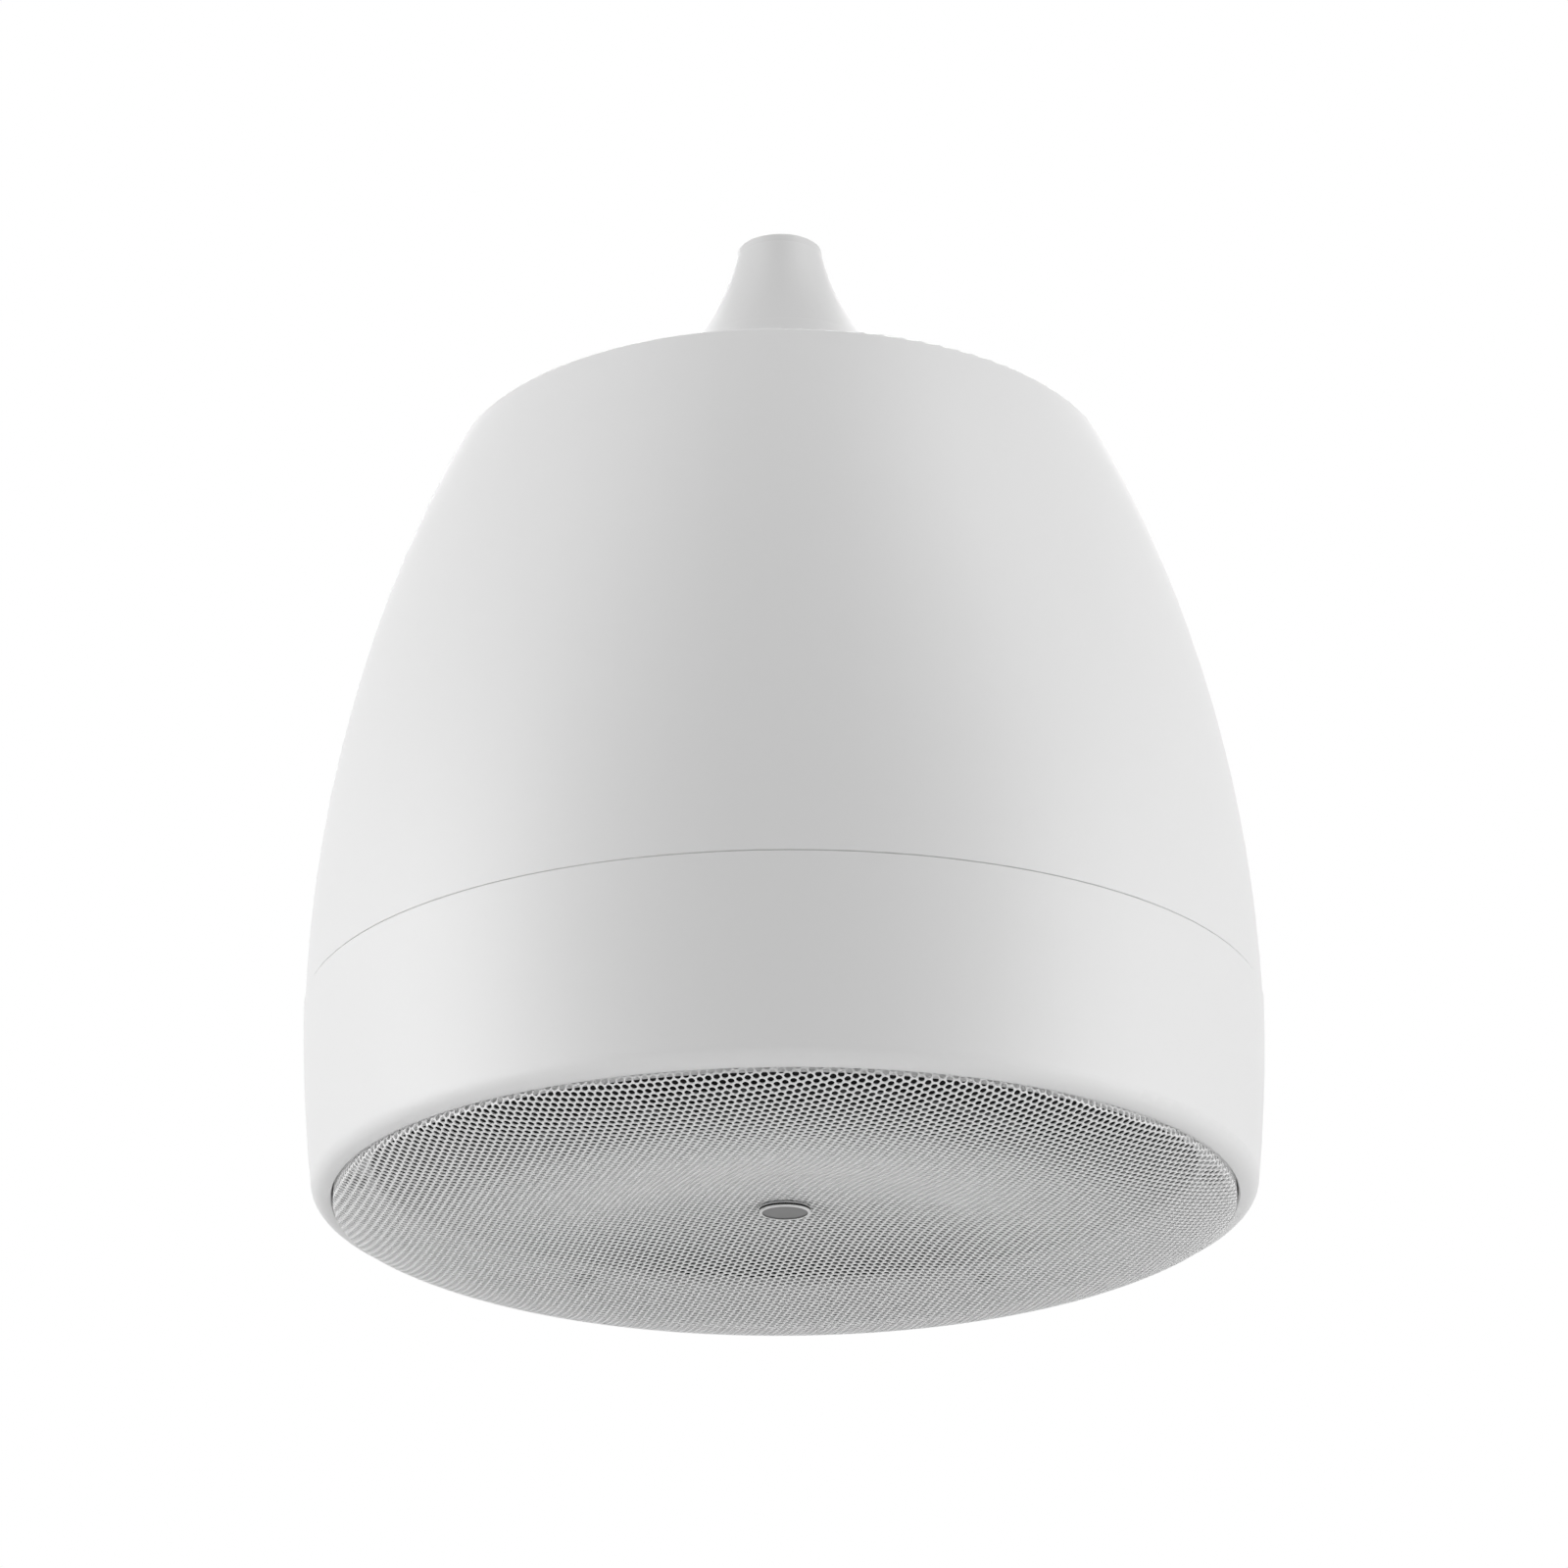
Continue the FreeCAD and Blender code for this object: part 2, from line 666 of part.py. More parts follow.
def build_upper_shell():
    outer_wall, outer_deck = SHELL_BOW.corner("shell_height", "shoulder_round", upwards=True)
    inner_wall, inner_deck = SHELL_BOW.corner("deck_low", "shoulder_inner_round", True, "shell_wall")
    spigot = "(ring_top_radius - ring_wall - spigot_gap)"
    spigot_low = "(shell_low - spigot_length)"
    rim_top = "(shell_low + spigot_rim)"
    wall_foot = f"({rim_top} + spigot_rim)"
    rib_outer = "(cover_base_radius - cover_rib_inset + cover_rib_gap)"
    rib_inner = "(cover_base_radius - cover_rib_inset - cover_rib_width - cover_rib_gap)"
    groove_floor = "(shell_height - cover_rib_depth - cover_rib_gap)"
    piece = new_body("upper_shell")
    turn(
        piece,
        [
            (f"{spigot} - spigot_wall", spigot_low),
            (spigot, spigot_low),
            (spigot, "shell_low"),
            ("shell_seam_radius", "shell_low"),
            (*outer_wall, "shell_bow_radius", 1),
            (*outer_deck, "shoulder_round", 1),
            (rib_outer, "shell_height"),
            (rib_outer, groove_floor),
            (rib_inner, groove_floor),
            (rib_inner, "shell_height"),
            ("boss_radius + boss_clearance", "shell_height"),
            ("boss_radius + boss_clearance", "deck_low"),
            inner_deck,
            (*inner_wall, "shoulder_inner_round", -1),
            (SHELL_BOW.at(wall_foot, "shell_wall"), wall_foot, "shell_bow_radius - shell_wall", -1),
            (f"{spigot} - spigot_wall", rim_top),
        ],
    )
    web_reach = f"({SHELL_BOW.at('shell_boss_top', 'shell_wall')} + boss_web_bite)"
    web_middle = f"((shell_screw_circle + {web_reach}) / 2)"
    boss = pad(
        piece,
        "screw_boss",
        "baffle_top",
        "shell_boss_top - baffle_top",
        [("shell_screw_circle", "0", "shell_boss_radius")],
    )
    web = pad(
        piece,
        "boss_web",
        rim_top,
        f"shell_boss_top - {rim_top}",
        outlines=[block(web_middle, "0", f"({web_reach} - shell_screw_circle)", "boss_web_thickness")],
    )
    bosses = around(piece, [boss, web], "shell_screw_count")
    pilot_depth = "(ledge_low + shell_screw_length + pilot_extra_depth - baffle_top)"
    pilot = pocket(
        piece,
        "pilot",
        f"baffle_top + {pilot_depth}",
        pilot_depth,
        [("shell_screw_circle", "0", "shell_screw_radius + pilot_clearance")],
    )
    around(piece, [pilot], "shell_screw_count")
    deck_rounds = plate_screw_places("hanger_screw_radius + screw_clearance")
    deck_rounds += terminal_screw_places("terminal_screw_radius + pilot_clearance")
    deck_rounds.append(("eye_offset", "0", "eye_shank_radius + screw_clearance"))
    slot = tail_slot("terminal_tail_gap")
    pocket(piece, "deck_holes", "shell_height", "deck_thickness", deck_rounds, [slot])
    return piece


def build_cover():
    inner_flare = "(cover_flare_radius + cover_wall)"
    inner_skirt = "(cover_skirt_radius + cover_wall)"
    edge_inner = on_arc("skirt_across", "skirt_height", inner_skirt, "cover_edge")
    bore_low = "(cover_height - cover_bore_length)"
    taper_low = f"({bore_low} - cover_bore_taper)"
    rib_outer = "(cover_base_radius - cover_rib_inset)"
    rib_inner = f"({rib_outer} - cover_rib_width)"
    piece = new_body("cable_cover")
    turn(
        piece,
        [
            ("cover_base_radius", "shell_height"),
            ("cover_base_radius", "cover_edge"),
            (
                "flare_across - cover_flare_radius * cos(cover_flare_turn)",
                "flare_height - cover_flare_radius * sin(cover_flare_turn)",
                "cover_skirt_radius",
                -1,
            ),
            (
                "flare_across - cover_flare_radius * cos(cover_flare_top)",
                "cover_height - cover_neck_height",
                "cover_flare_radius",
                -1,
            ),
            ("cover_neck_radius", "cover_height - cover_lip_round"),
            ("cover_neck_radius - cover_lip_round", "cover_height", "cover_lip_round", 1),
            ("cover_bore_radius", "cover_height"),
            ("cover_bore_radius", bore_low),
            (on_arc("flare_across", "flare_height", inner_flare, taper_low), taper_low),
            (
                f"flare_across - {inner_flare} * cos(cover_flare_turn)",
                f"flare_height - {inner_flare} * sin(cover_flare_turn)",
                inner_flare,
                1,
            ),
            (edge_inner, "cover_edge", inner_skirt, 1),
            (rib_inner, "shell_height"),
            (rib_inner, "shell_height - cover_rib_depth"),
            (rib_outer, "shell_height - cover_rib_depth"),
            (rib_outer, "shell_height"),
        ],
    )
    return piece


def build_grille():
    """One pressed sheet: a hollow in the middle, a crest round it and a skirt up to the turned edge."""
    slope = "(2 * atan(grille_crest_depth / grille_crest_radius))"
    dish_arc = f"(grille_turn_radius / sin({slope}))"
    crest_arc = f"((grille_crest_radius - grille_turn_radius) / sin({slope}))"
    turn_low = f"(0 - {dish_arc} * (1 - cos({slope})))"
    skirt_middle = "(grille_skirt_radius - grille_crest_depth)"
    bend_across = "(grille_rim_radius - grille_bend_radius)"
    bend_inner = "(grille_bend_radius - grille_sheet)"
    reach = "(grille_skirt_radius - grille_bend_radius)"
    bend_height = f"({skirt_middle} - sqrt({reach}^2 - ({bend_across} - grille_crest_radius)^2))"
    piece = new_body("grille")

    def skirt_end(inset):
        grow = f"((grille_skirt_radius - {inset}) / {reach})"
        across = f"(grille_crest_radius + ({bend_across} - grille_crest_radius) * {grow})"
        return across, f"({skirt_middle} - ({skirt_middle} - {bend_height}) * {grow})"

    inner_turn_across = f"grille_turn_radius - grille_sheet * sin({slope})"
    inner_turn_up = f"{turn_low} + grille_sheet * cos({slope})"
    turn(
        piece,
        [
            ("0", "0"),
            ("grille_turn_radius", turn_low, dish_arc, -1),
            ("grille_crest_radius", "-grille_crest_depth", crest_arc, 1),
            (*skirt_end("0"), "grille_skirt_radius", 1),
            ("grille_rim_radius", bend_height, "grille_bend_radius", 1),
            ("grille_rim_radius", "grille_edge_height"),
            ("grille_rim_radius - grille_sheet", "grille_edge_height"),
            ("grille_rim_radius - grille_sheet", bend_height),
            (*skirt_end("grille_sheet"), bend_inner, -1),
            (
                "grille_crest_radius",
                "grille_sheet - grille_crest_depth",
                "grille_skirt_radius - grille_sheet",
                -1,
            ),
            (inner_turn_across, inner_turn_up, f"({crest_arc} - grille_sheet)", -1),
            ("0", "grille_sheet", f"({dish_arc} + grille_sheet)", 1),
        ],
    )
    pitch = number("grille_hole_pitch")
    limit = number("grille_rim_radius - grille_hole_margin - grille_hole_radius + grille_sheet")
    steps = int(limit / pitch)
    places = []
    for i in range(1, steps + 1):
        for j in range(0, steps + 1):
            if pitch * math.sqrt(i * i + i * j + j * j) <= limit:
                along = f"({i} * cos(grille_hole_angle) + {j} * cos(grille_hole_angle + 60))"
                aside = f"({i} * sin(grille_hole_angle) + {j} * sin(grille_hole_angle + 60))"
                place = (f"grille_hole_pitch * {along}", f"grille_hole_pitch * {aside}")
                places.append((*place, "grille_hole_radius"))
    depth = "grille_edge_height + grille_crest_depth + grille_sheet"
    holes = pocket(piece, "sixth", "grille_edge_height", depth, places)
    around(piece, [holes], "6")
    stud_hole = [("0", "0", "badge_stud_radius + badge_stud_clearance")]
    pocket(piece, "stud_hole", "grille_edge_height", depth, stud_hole)
    return piece


def build_badge():
    """A bare round disc with a raised rim, a foot that stands it off the grille and a stud."""
    low = "(0 - badge_stand_off - badge_thickness)"
    field = f"({low} + badge_rim_height)"
    piece = new_body("badge")
    turn(
        piece,
        [
            ("0", field),
            ("badge_radius - badge_rim_width", field),
            ("badge_radius - badge_rim_width", low),
            ("badge_radius - badge_rim_height", low),
            ("badge_radius", field),
            ("badge_radius", "0 - badge_stand_off"),
            ("badge_foot_radius", "0 - badge_stand_off"),
            ("badge_foot_radius", "0 - badge_foot_gap"),
            ("badge_stud_radius", "0 - badge_foot_gap"),
            ("badge_stud_radius", "badge_stud_length"),
            ("0", "badge_stud_length"),
        ],
    )
    return piece


def build_baffle():
    piece = new_body("baffle", "baffle_low")
    edge = f"({RING_BOW.at('ledge_top', 'ring_wall')} - baffle_edge_gap)"
    cutout = "baffle_cutout_radius"
    turn(piece, [(cutout, "0"), (edge, "0"), (edge, "baffle_thickness"), (cutout, "baffle_thickness")])
    port = [("0", "port_circle", "port_radius + port_wall + port_clearance")]
    pocket(piece, "port_hole", "baffle_thickness", "baffle_thickness", port)
    shell_hole = [("shell_screw_circle", "0", "shell_screw_radius + screw_clearance")]
    shell_holes = pocket(piece, "shell_screw_hole", "baffle_thickness", "baffle_thickness", shell_hole)
    around(piece, [shell_holes], "shell_screw_count")
    pilot = [("woofer_screw_circle", "0", "woofer_screw_radius + pilot_clearance")]
    pilots = pocket(piece, "woofer_pilot", "baffle_thickness", "baffle_thickness", pilot)
    around(piece, [pilots], "woofer_screw_count")
    return piece


def build_baffle_gasket():
    edge = f"({RING_BOW.at('ledge_top', 'ring_wall')} - baffle_edge_gap)"
    piece = washer("baffle_gasket", "ledge_top", "baffle_gasket_thickness", "ledge_inner_radius", edge)
    hole = [("shell_screw_circle", "0", "shell_screw_radius + screw_clearance")]
    holes = pocket(piece, "screw_hole", "baffle_gasket_thickness", "baffle_gasket_thickness", hole)
    around(piece, [holes], "shell_screw_count")
    return piece


def build_port_tube():
    low = "(baffle_low - port_flange_thickness)"
    outer = "(port_radius + port_wall)"
    flange = f"({outer} + port_flange_width)"
    piece = new_body("port_tube", low, "0", "port_circle")
    turn(
        piece,
        [
            ("port_radius + port_mouth_round", "0", "port_mouth_round", 1),
            (f"{flange} - port_flange_thickness / 2", "0"),
            (flange, "port_flange_thickness / 2", "port_flange_thickness / 2", 1),
            (flange, "port_flange_thickness"),
            (outer, "port_flange_thickness"),
            (outer, "port_length"),
            ("port_radius", "port_length"),
            ("port_radius", "port_mouth_round"),
        ],
    )
    return piece


def build_lining():
    """A soft sleeve of felt that follows the inside of the shell."""
    outer = "(shell_wall + lining_gap)"
    inner = f"({outer} + lining_thickness)"
    piece = new_body("damping_lining")
    turn(
        piece,
        [
            (SHELL_BOW.at("lining_low", inner), "lining_low", f"shell_bow_radius - {inner}", -1),
            (SHELL_BOW.at("lining_low", outer), "lining_low"),
            (SHELL_BOW.at("lining_high", outer), "lining_high", f"shell_bow_radius - {outer}", 1),
            (SHELL_BOW.at("lining_high", inner), "lining_high"),
        ],
    )
    return piece


def build_basket():
    """A pressed steel frame: mounting flange, windowed cone, spider shelf, waist and motor flange."""
    foot = "(baffle_cutout_radius - basket_clearance)"
    shelf = "(shelf_low - flange_low)"
    motor = "(motor_low - flange_low)"
    piece = new_body("woofer_basket", "flange_low")
    turn(
        piece,
        [
            (f"{foot} - basket_sheet", "0"),
            ("basket_flange_radius", "0"),
            ("basket_flange_radius", "basket_sheet"),
            (foot, "basket_sheet"),
            ("spider_shelf_radius", f"{shelf} + basket_sheet"),
            ("basket_waist_radius", f"{shelf} + basket_sheet"),
            ("basket_waist_radius", motor),
            ("basket_bore_radius", motor),
            ("basket_bore_radius", f"{motor} - basket_sheet"),
            ("basket_waist_radius - basket_sheet", f"{motor} - basket_sheet"),
            ("basket_waist_radius - basket_sheet", shelf),
            ("spider_shelf_radius - basket_sheet", shelf),
        ],
    )
    hole = [("woofer_screw_circle", "0", "woofer_screw_radius + screw_clearance")]
    holes = pocket(piece, "screw_hole", "basket_sheet", "basket_sheet", hole)
    around(piece, [holes], "woofer_screw_count")
    half = "(window_angle / 2)"
    near, far = "window_inner_radius", "window_outer_radius"
    window = [
        (f"{near} * cos({half})", f"-{near} * sin({half})", near, -1),
        (f"{far} * cos({half})", f"-{far} * sin({half})"),
        (f"{far} * cos({half})", f"{far} * sin({half})", far, 1),
        (f"{near} * cos({half})", f"{near} * sin({half})"),
    ]
    windows = pocket(piece, "window", shelf, f"({shelf} - 2 * basket_sheet)", outlines=[window])
    around(piece, [windows], "window_count")
    return piece


def build_woofer_gasket():
    thickness = "woofer_gasket_thickness"
    piece = washer("woofer_gasket", "flange_top", thickness, "baffle_cutout_radius", "basket_flange_radius")
    hole = [("woofer_screw_circle", "0", "woofer_screw_radius + screw_clearance")]
    holes = pocket(piece, "screw_hole", thickness, thickness, hole)
    around(piece, [holes], "woofer_screw_count")
    return piece


def build_surround():
    """A half roll of rubber between two flat lands, one on the frame and one on the cone."""
    roll = "((surround_outer_radius - surround_inner_radius) / 2)"
    half = "(surround_sheet / 2)"
    rise = f"sqrt(({roll} + {half})^2 - {half}^2)"
    inner_rise = f"sqrt(({roll} - {half})^2 - {half}^2)"
    piece = new_body("surround", "surround_low")
    middle = "(surround_inner_radius + surround_outer_radius) / 2"
    turn(
        piece,
        [
            ("surround_inner_radius - surround_land", "0"),
            (f"{middle} - {rise}", "0"),
            (f"{middle} + {rise}", "0", f"{roll} + {half}", 1),
            ("surround_outer_radius + surround_land", "0"),
            ("surround_outer_radius + surround_land", "surround_sheet"),
            (f"{middle} + {inner_rise}", "surround_sheet"),
            (f"{middle} - {inner_rise}", "surround_sheet", f"{roll} - {half}", -1),
            ("surround_inner_radius - surround_land", "surround_sheet"),
        ],
    )
    return piece


def build_cone():
    """A pulp cone with a flat rim on the surround and a short neck on the former."""
    rim_outer = "(surround_inner_radius - cone_edge_gap)"
    rim_inner = f"({rim_outer} - cone_rim_width)"
    neck = "(former_outer_radius + glue_gap)"
    piece = new_body("cone", "flange_low")
    turn(
        piece,
        [
            (rim_inner, "0", "cone_bow_radius + cone_sheet", -1),
            (rim_outer, "0"),
            (rim_outer, "cone_sheet"),
            (f"{rim_inner} + cone_sheet / 2", "cone_sheet"),
            (f"{neck} + cone_sheet", "cone_depth", "cone_bow_radius", 1),
            (f"{neck} + cone_sheet", "cone_depth + cone_sheet"),
            (neck, "cone_depth + cone_sheet"),
            (neck, "cone_depth - cone_sheet"),
        ],
    )
    return piece


def build_spider():
    """A disc of treated cloth with round waves between a collar on the coil and a land on the frame."""
    near = "(former_outer_radius + spider_glue_gap)"
    far = "(spider_shelf_radius - basket_sheet - spider_glue_gap)"
    first = f"({near} + spider_collar)"
    last = "(basket_waist_radius - basket_sheet - spider_land_overlap)"
    step = f"(({last} - {first}) / (2 * spider_waves))"
    arc = f"(({step} / 2)^2 + (spider_wave / 2)^2) / spider_wave"
    count = 2 * int(number("spider_waves"))
    piece = new_body("spider", "shelf_low - spider_sheet")
    lower = [(near, "0"), (first, "0")]
    upper = [(far, "spider_sheet"), (last, "spider_sheet")]
    for k in range(1, count + 1):
        side = 1 if k % 2 else -1
        lower.append((f"{first} + {k} * {step}", "0", arc, side))
        upper.append((f"{last} - {k} * {step}", "spider_sheet", arc, side))
    turn(piece, lower + [(far, "0")] + upper + [(near, "spider_sheet")])
    return piece


def build_back_plate():
    """The rear plate and its pole in one piece, bored for the tweeter's post."""
    pole = "(former_radius - coil_gap)"
    piece = new_body("back_plate", "pole_low")
    plate_low = "(back_low - pole_low)"
    plate_top = f"({plate_low} + back_plate_thickness)"
    turn(
        piece,
        [
            ("pole_bore_radius", "0"),
            (pole, "0"),
            (pole, plate_low),
            ("back_plate_radius", plate_low),
            ("back_plate_radius", plate_top),
            ("pole_bore_radius", plate_top),
        ],
    )
    return piece


def build_post():
    """A hollow post that carries the tweeter in front of the pole and takes a nut behind it."""
    piece = new_body("tweeter_post", "tweeter_back")
    shoulder = "(pole_low - tweeter_back)"
    top = "(back_top + post_nut_thickness + post_overrun - tweeter_back)"
    turn(
        piece,
        [
            ("post_wire_radius", "0"),
            ("post_foot_radius", "0"),
            ("post_foot_radius", "post_foot_thickness"),
            ("post_radius", "post_foot_thickness"),
            ("post_radius", shoulder),
            ("post_core_radius", shoulder),
            ("post_core_radius", top),
            ("post_wire_radius", top),
        ],
    )
    return piece


def build_post_nut():
    piece = new_body("post_nut", "back_top")
    bore = [("0", "0", "pole_bore_radius")]
    pad(piece, "hexagon", "0", "post_nut_thickness", bore, [hexagon("post_nut_radius")])
    return piece


def build_tweeter_housing():
    """A cup with a ledge that the dome's flange lies on."""
    floor = "(tweeter_depth - tweeter_floor)"
    bore = "(tweeter_radius - tweeter_wall)"
    mouth = "faceplate_rim"
    seat = "(faceplate_rim + faceplate_plug + dome_sheet)"
    piece = new_body("tweeter_housing", "tweeter_front")
    turn(
        piece,
        [
            ("post_wire_radius", floor),
            (f"{bore} - tweeter_seat_width", floor),
            (f"{bore} - tweeter_seat_width", seat),
            (bore, seat),
            (bore, mouth),
            ("tweeter_radius", mouth),
            ("tweeter_radius", "tweeter_depth"),
            ("post_wire_radius", "tweeter_depth"),
        ],
    )
    return piece


def build_tweeter_magnet():
    seat = "(faceplate_rim + faceplate_plug + dome_sheet)"
    rise = f"({seat} + tweeter_magnet_gap)"
    low = f"tweeter_front + {rise}"
    height = f"(tweeter_depth - tweeter_floor - {rise})"
    return washer("tweeter_magnet", low, height, "post_wire_radius", "tweeter_magnet_radius")


def build_dome():
    """A thin dome with a flat flange, pressed down by the faceplate's plug."""
    flange = "(tweeter_radius - tweeter_wall - faceplate_gap)"
    arc = "((dome_radius^2 + dome_rise^2) / (2 * dome_rise))"
    middle = f"({arc} - dome_rise)"
    inner = f"({arc} - dome_sheet)"
    inner_edge = f"sqrt({inner}^2 - ({middle} - dome_sheet)^2)"
    piece = new_body("tweeter_dome", "tweeter_front + faceplate_rim + faceplate_plug")
    turn(
        piece,
        [
            ("0", "0 - dome_rise"),
            ("dome_radius", "0", arc, 1),
            (flange, "0"),
            (flange, "dome_sheet"),
            (inner_edge, "dome_sheet"),
            ("0", "dome_sheet - dome_rise", inner, -1),
        ],
    )
    return piece


def build_faceplate():
    """The tweeter's front ring: a rim over the cup's mouth, a plug inside it and a flared throat."""
    plug = "(tweeter_radius - tweeter_wall - faceplate_gap)"
    back = "(faceplate_rim + faceplate_plug)"
    mouth = "(faceplate_throat_radius + faceplate_flare_width)"
    lip = f"({back} - faceplate_throat_lip)"
    piece = new_body("tweeter_faceplate", "tweeter_front")
    turn(
        piece,
        [
            ("faceplate_throat_radius", back),
            ("faceplate_throat_radius", lip),
            (mouth, "0", "faceplate_flare_round", 1),
            ("tweeter_radius - faceplate_chamfer", "0"),
            ("tweeter_radius", "faceplate_chamfer"),
            ("tweeter_radius", "faceplate_rim"),
            (plug, "faceplate_rim"),
            (plug, back),
        ],
    )
    return piece


def build_hanger_plate():
    """A steel disc under the deck that takes the load of everything that hangs."""
    clear = "(boss_radius + boss_clearance)"
    piece = washer("hanger_plate", "plate_low", "hanger_plate_thickness", clear, "hanger_plate_radius")
    rounds = plate_screw_places("hanger_screw_radius + pilot_clearance")
    rounds += board_screw_places("board_screw_radius + pilot_clearance")
    rounds += strap_screw_places("strap_screw_radius + pilot_clearance")
    rounds.append(("eye_offset", "0", "eye_shank_radius + screw_clearance"))
    slot = tail_slot("terminal_tail_gap")
    pocket(piece, "holes", "hanger_plate_thickness", "hanger_plate_thickness", rounds, [slot])
    return piece


def build_suspension_boss():
    """A turned boss with a flange under the plate and a threaded blind hole that opens upwards."""
    low = "(plate_low - boss_flange_thickness)"
    top = f"(thread_mouth - {low})"
    floor = f"({top} - thread_depth)"
    piece = new_body("suspension_boss", low)
    turn(
        piece,
        [
            ("0", "0"),
            ("boss_flange_radius", "0"),
            ("boss_flange_radius", "boss_flange_thickness"),
            ("boss_radius", "boss_flange_thickness"),
            ("boss_radius", f"{top} - boss_chamfer"),
            ("boss_radius - boss_chamfer", top),
            ("thread_core_radius", top),
            ("thread_core_radius", floor),
            ("0", floor),
        ],
    )
    return piece


def build_boss_nut():
    piece = new_body("boss_nut", "shell_height")
    bore = [("0", "0", "boss_radius + nut_clearance")]
    pad(piece, "hexagon", "0", "boss_nut_thickness", bore, [hexagon("boss_nut_radius")])
    return piece


def build_hanger_screws():
    piece = new_body("hanger_screws", "shell_height")
    length = "(deck_thickness + hanger_plate_thickness)"
    pad(piece, "heads", "0", "hanger_screw_head_height", plate_screw_places("hanger_screw_head_radius"))
    pad(piece, "shanks", f"0 - {length}", length, plate_screw_places("hanger_screw_radius"))
    return piece


def build_safety_eye():
    """An eyebolt for the second, safety line: a shank, a collar and a ring."""
    length = "(shell_height - plate_low + eye_nut_thickness)"
    piece = new_body("safety_eye", "shell_height", "eye_offset")
    turn(
        piece,
        [
            ("0", f"0 - {length}"),
            ("eye_shank_radius", f"0 - {length}"),
            ("eye_shank_radius", "0"),
            ("eye_collar_radius", "0"),
            ("eye_collar_radius", "eye_collar_thickness"),
            ("0", "eye_collar_thickness"),
        ],
    )
    centre = "(eye_collar_thickness + eye_ring_radius + eye_wire_radius - eye_sink)"
    ring = new_sketch(piece, "safety_eye_wire", "XY_Plane", centre)
    circles(ring, [("0", "eye_ring_radius", "eye_wire_radius")])
    feature = piece.newObject("PartDesign::Revolution", "safety_eye_ring")
    feature.Profile = ring
    feature.ReferenceAxis = (ring, ["H_Axis"])
    feature.Angle = 360
    doc.recompute()
    return piece


def build_eye_nut():
    piece = new_body("eye_nut", "plate_low - eye_nut_thickness", "eye_offset")
    bore = [("0", "0", "eye_shank_radius + nut_clearance")]
    pad(piece, "hexagon", "0", "eye_nut_thickness", bore, [hexagon("eye_nut_radius")])
    return piece


def build_terminal_block():
    """A four-way block: a flange, a tail through the deck, wire entries in one side and screw wells."""
    piece = new_body("terminal_block", "shell_height")
    flange = block("-terminal_offset", "0", "terminal_flange_width", "terminal_flange_length")
    body = block("-terminal_offset", "0", "terminal_width", "terminal_length")
    tail_depth = "(shell_height - plate_low)"
    pad(piece, "flange", "0", "terminal_flange_thickness", outlines=[flange])
    pad(piece, "body", "0", "terminal_height", outlines=[body])
    pad(piece, "tail", f"0 - {tail_depth}", tail_depth, outlines=[tail_slot()])
    holes = terminal_screw_places("terminal_screw_radius + screw_clearance")
    pocket(piece, "screw_holes", "terminal_flange_thickness", "terminal_flange_thickness", holes)
    wells = [("-terminal_offset", row, "clamp_screw_radius + screw_clearance") for row in terminal_rows()]
    pocket(piece, "wells", "terminal_height", "clamp_screw_depth + clamp_screw_sink", wells)
    entry_across = "(terminal_entry_depth / 2 - terminal_offset - terminal_width / 2)"
    entry_top = "(terminal_flange_thickness + terminal_entry_sill + terminal_entry_height)"
    entries = [
        block(entry_across, row, "terminal_entry_depth", "terminal_entry_width") for row in terminal_rows()
    ]
    pocket(piece, "entries", entry_top, "terminal_entry_height", outlines=entries)
    return piece


def build_terminal_screws():
    piece = new_body("terminal_screws", "shell_height + terminal_flange_thickness")
    length = "(terminal_flange_thickness + deck_thickness)"
    heads = terminal_screw_places("terminal_screw_head_radius")
    pad(piece, "heads", "0", "terminal_screw_head_height", heads)
    pad(piece, "shanks", f"0 - {length}", length, terminal_screw_places("terminal_screw_radius"))
    return piece


def build_clamp_screws():
    low = "(shell_height + terminal_height - clamp_screw_depth - clamp_screw_sink)"
    piece = new_body("clamp_screws", low)
    slugs = [("-terminal_offset", row, "clamp_screw_radius") for row in terminal_rows()]
    pad(piece, "slugs", "0", "clamp_screw_depth", slugs)
    return piece


def build_crossover_board():
    piece = new_body("crossover_board", "board_low", "0", "board_offset")
    across, away, corner = "(board_length / 2)", "(board_width / 2)", "board_corner_round"
    rounded = [
        (f"{across} - {corner}", f"0 - {away}"),
        (across, f"{corner} - {away}", corner, 1),
        (across, f"{away} - {corner}"),
        (f"{across} - {corner}", away, corner, 1),
        (f"{corner} - {across}", away),
        (f"0 - {across}", f"{away} - {corner}", corner, 1),
        (f"0 - {across}", f"{corner} - {away}"),
        (f"{corner} - {across}", f"0 - {away}", corner, 1),
    ]
    holes = board_screw_places("board_screw_radius + screw_clearance", "0")
    pad(piece, "panel", "0", "board_thickness", holes, [rounded])
    return piece


def build_standoffs():
    piece = new_body("board_standoffs", "board_top")
    rounds = board_screw_places("standoff_radius")
    rounds += board_screw_places("board_screw_radius + pilot_clearance")
    pad(piece, "tubes", "0", "standoff_height", rounds)
    return piece


def build_board_screws():
    piece = new_body("board_screws", "board_low")
    length = "(board_thickness + standoff_height + hanger_plate_thickness)"
    heads = board_screw_places("board_screw_head_radius")
    pad(piece, "heads", "0 - board_screw_head_height", "board_screw_head_height", heads)
    pad(piece, "shanks", "0", length, board_screw_places("board_screw_radius"))
    return piece


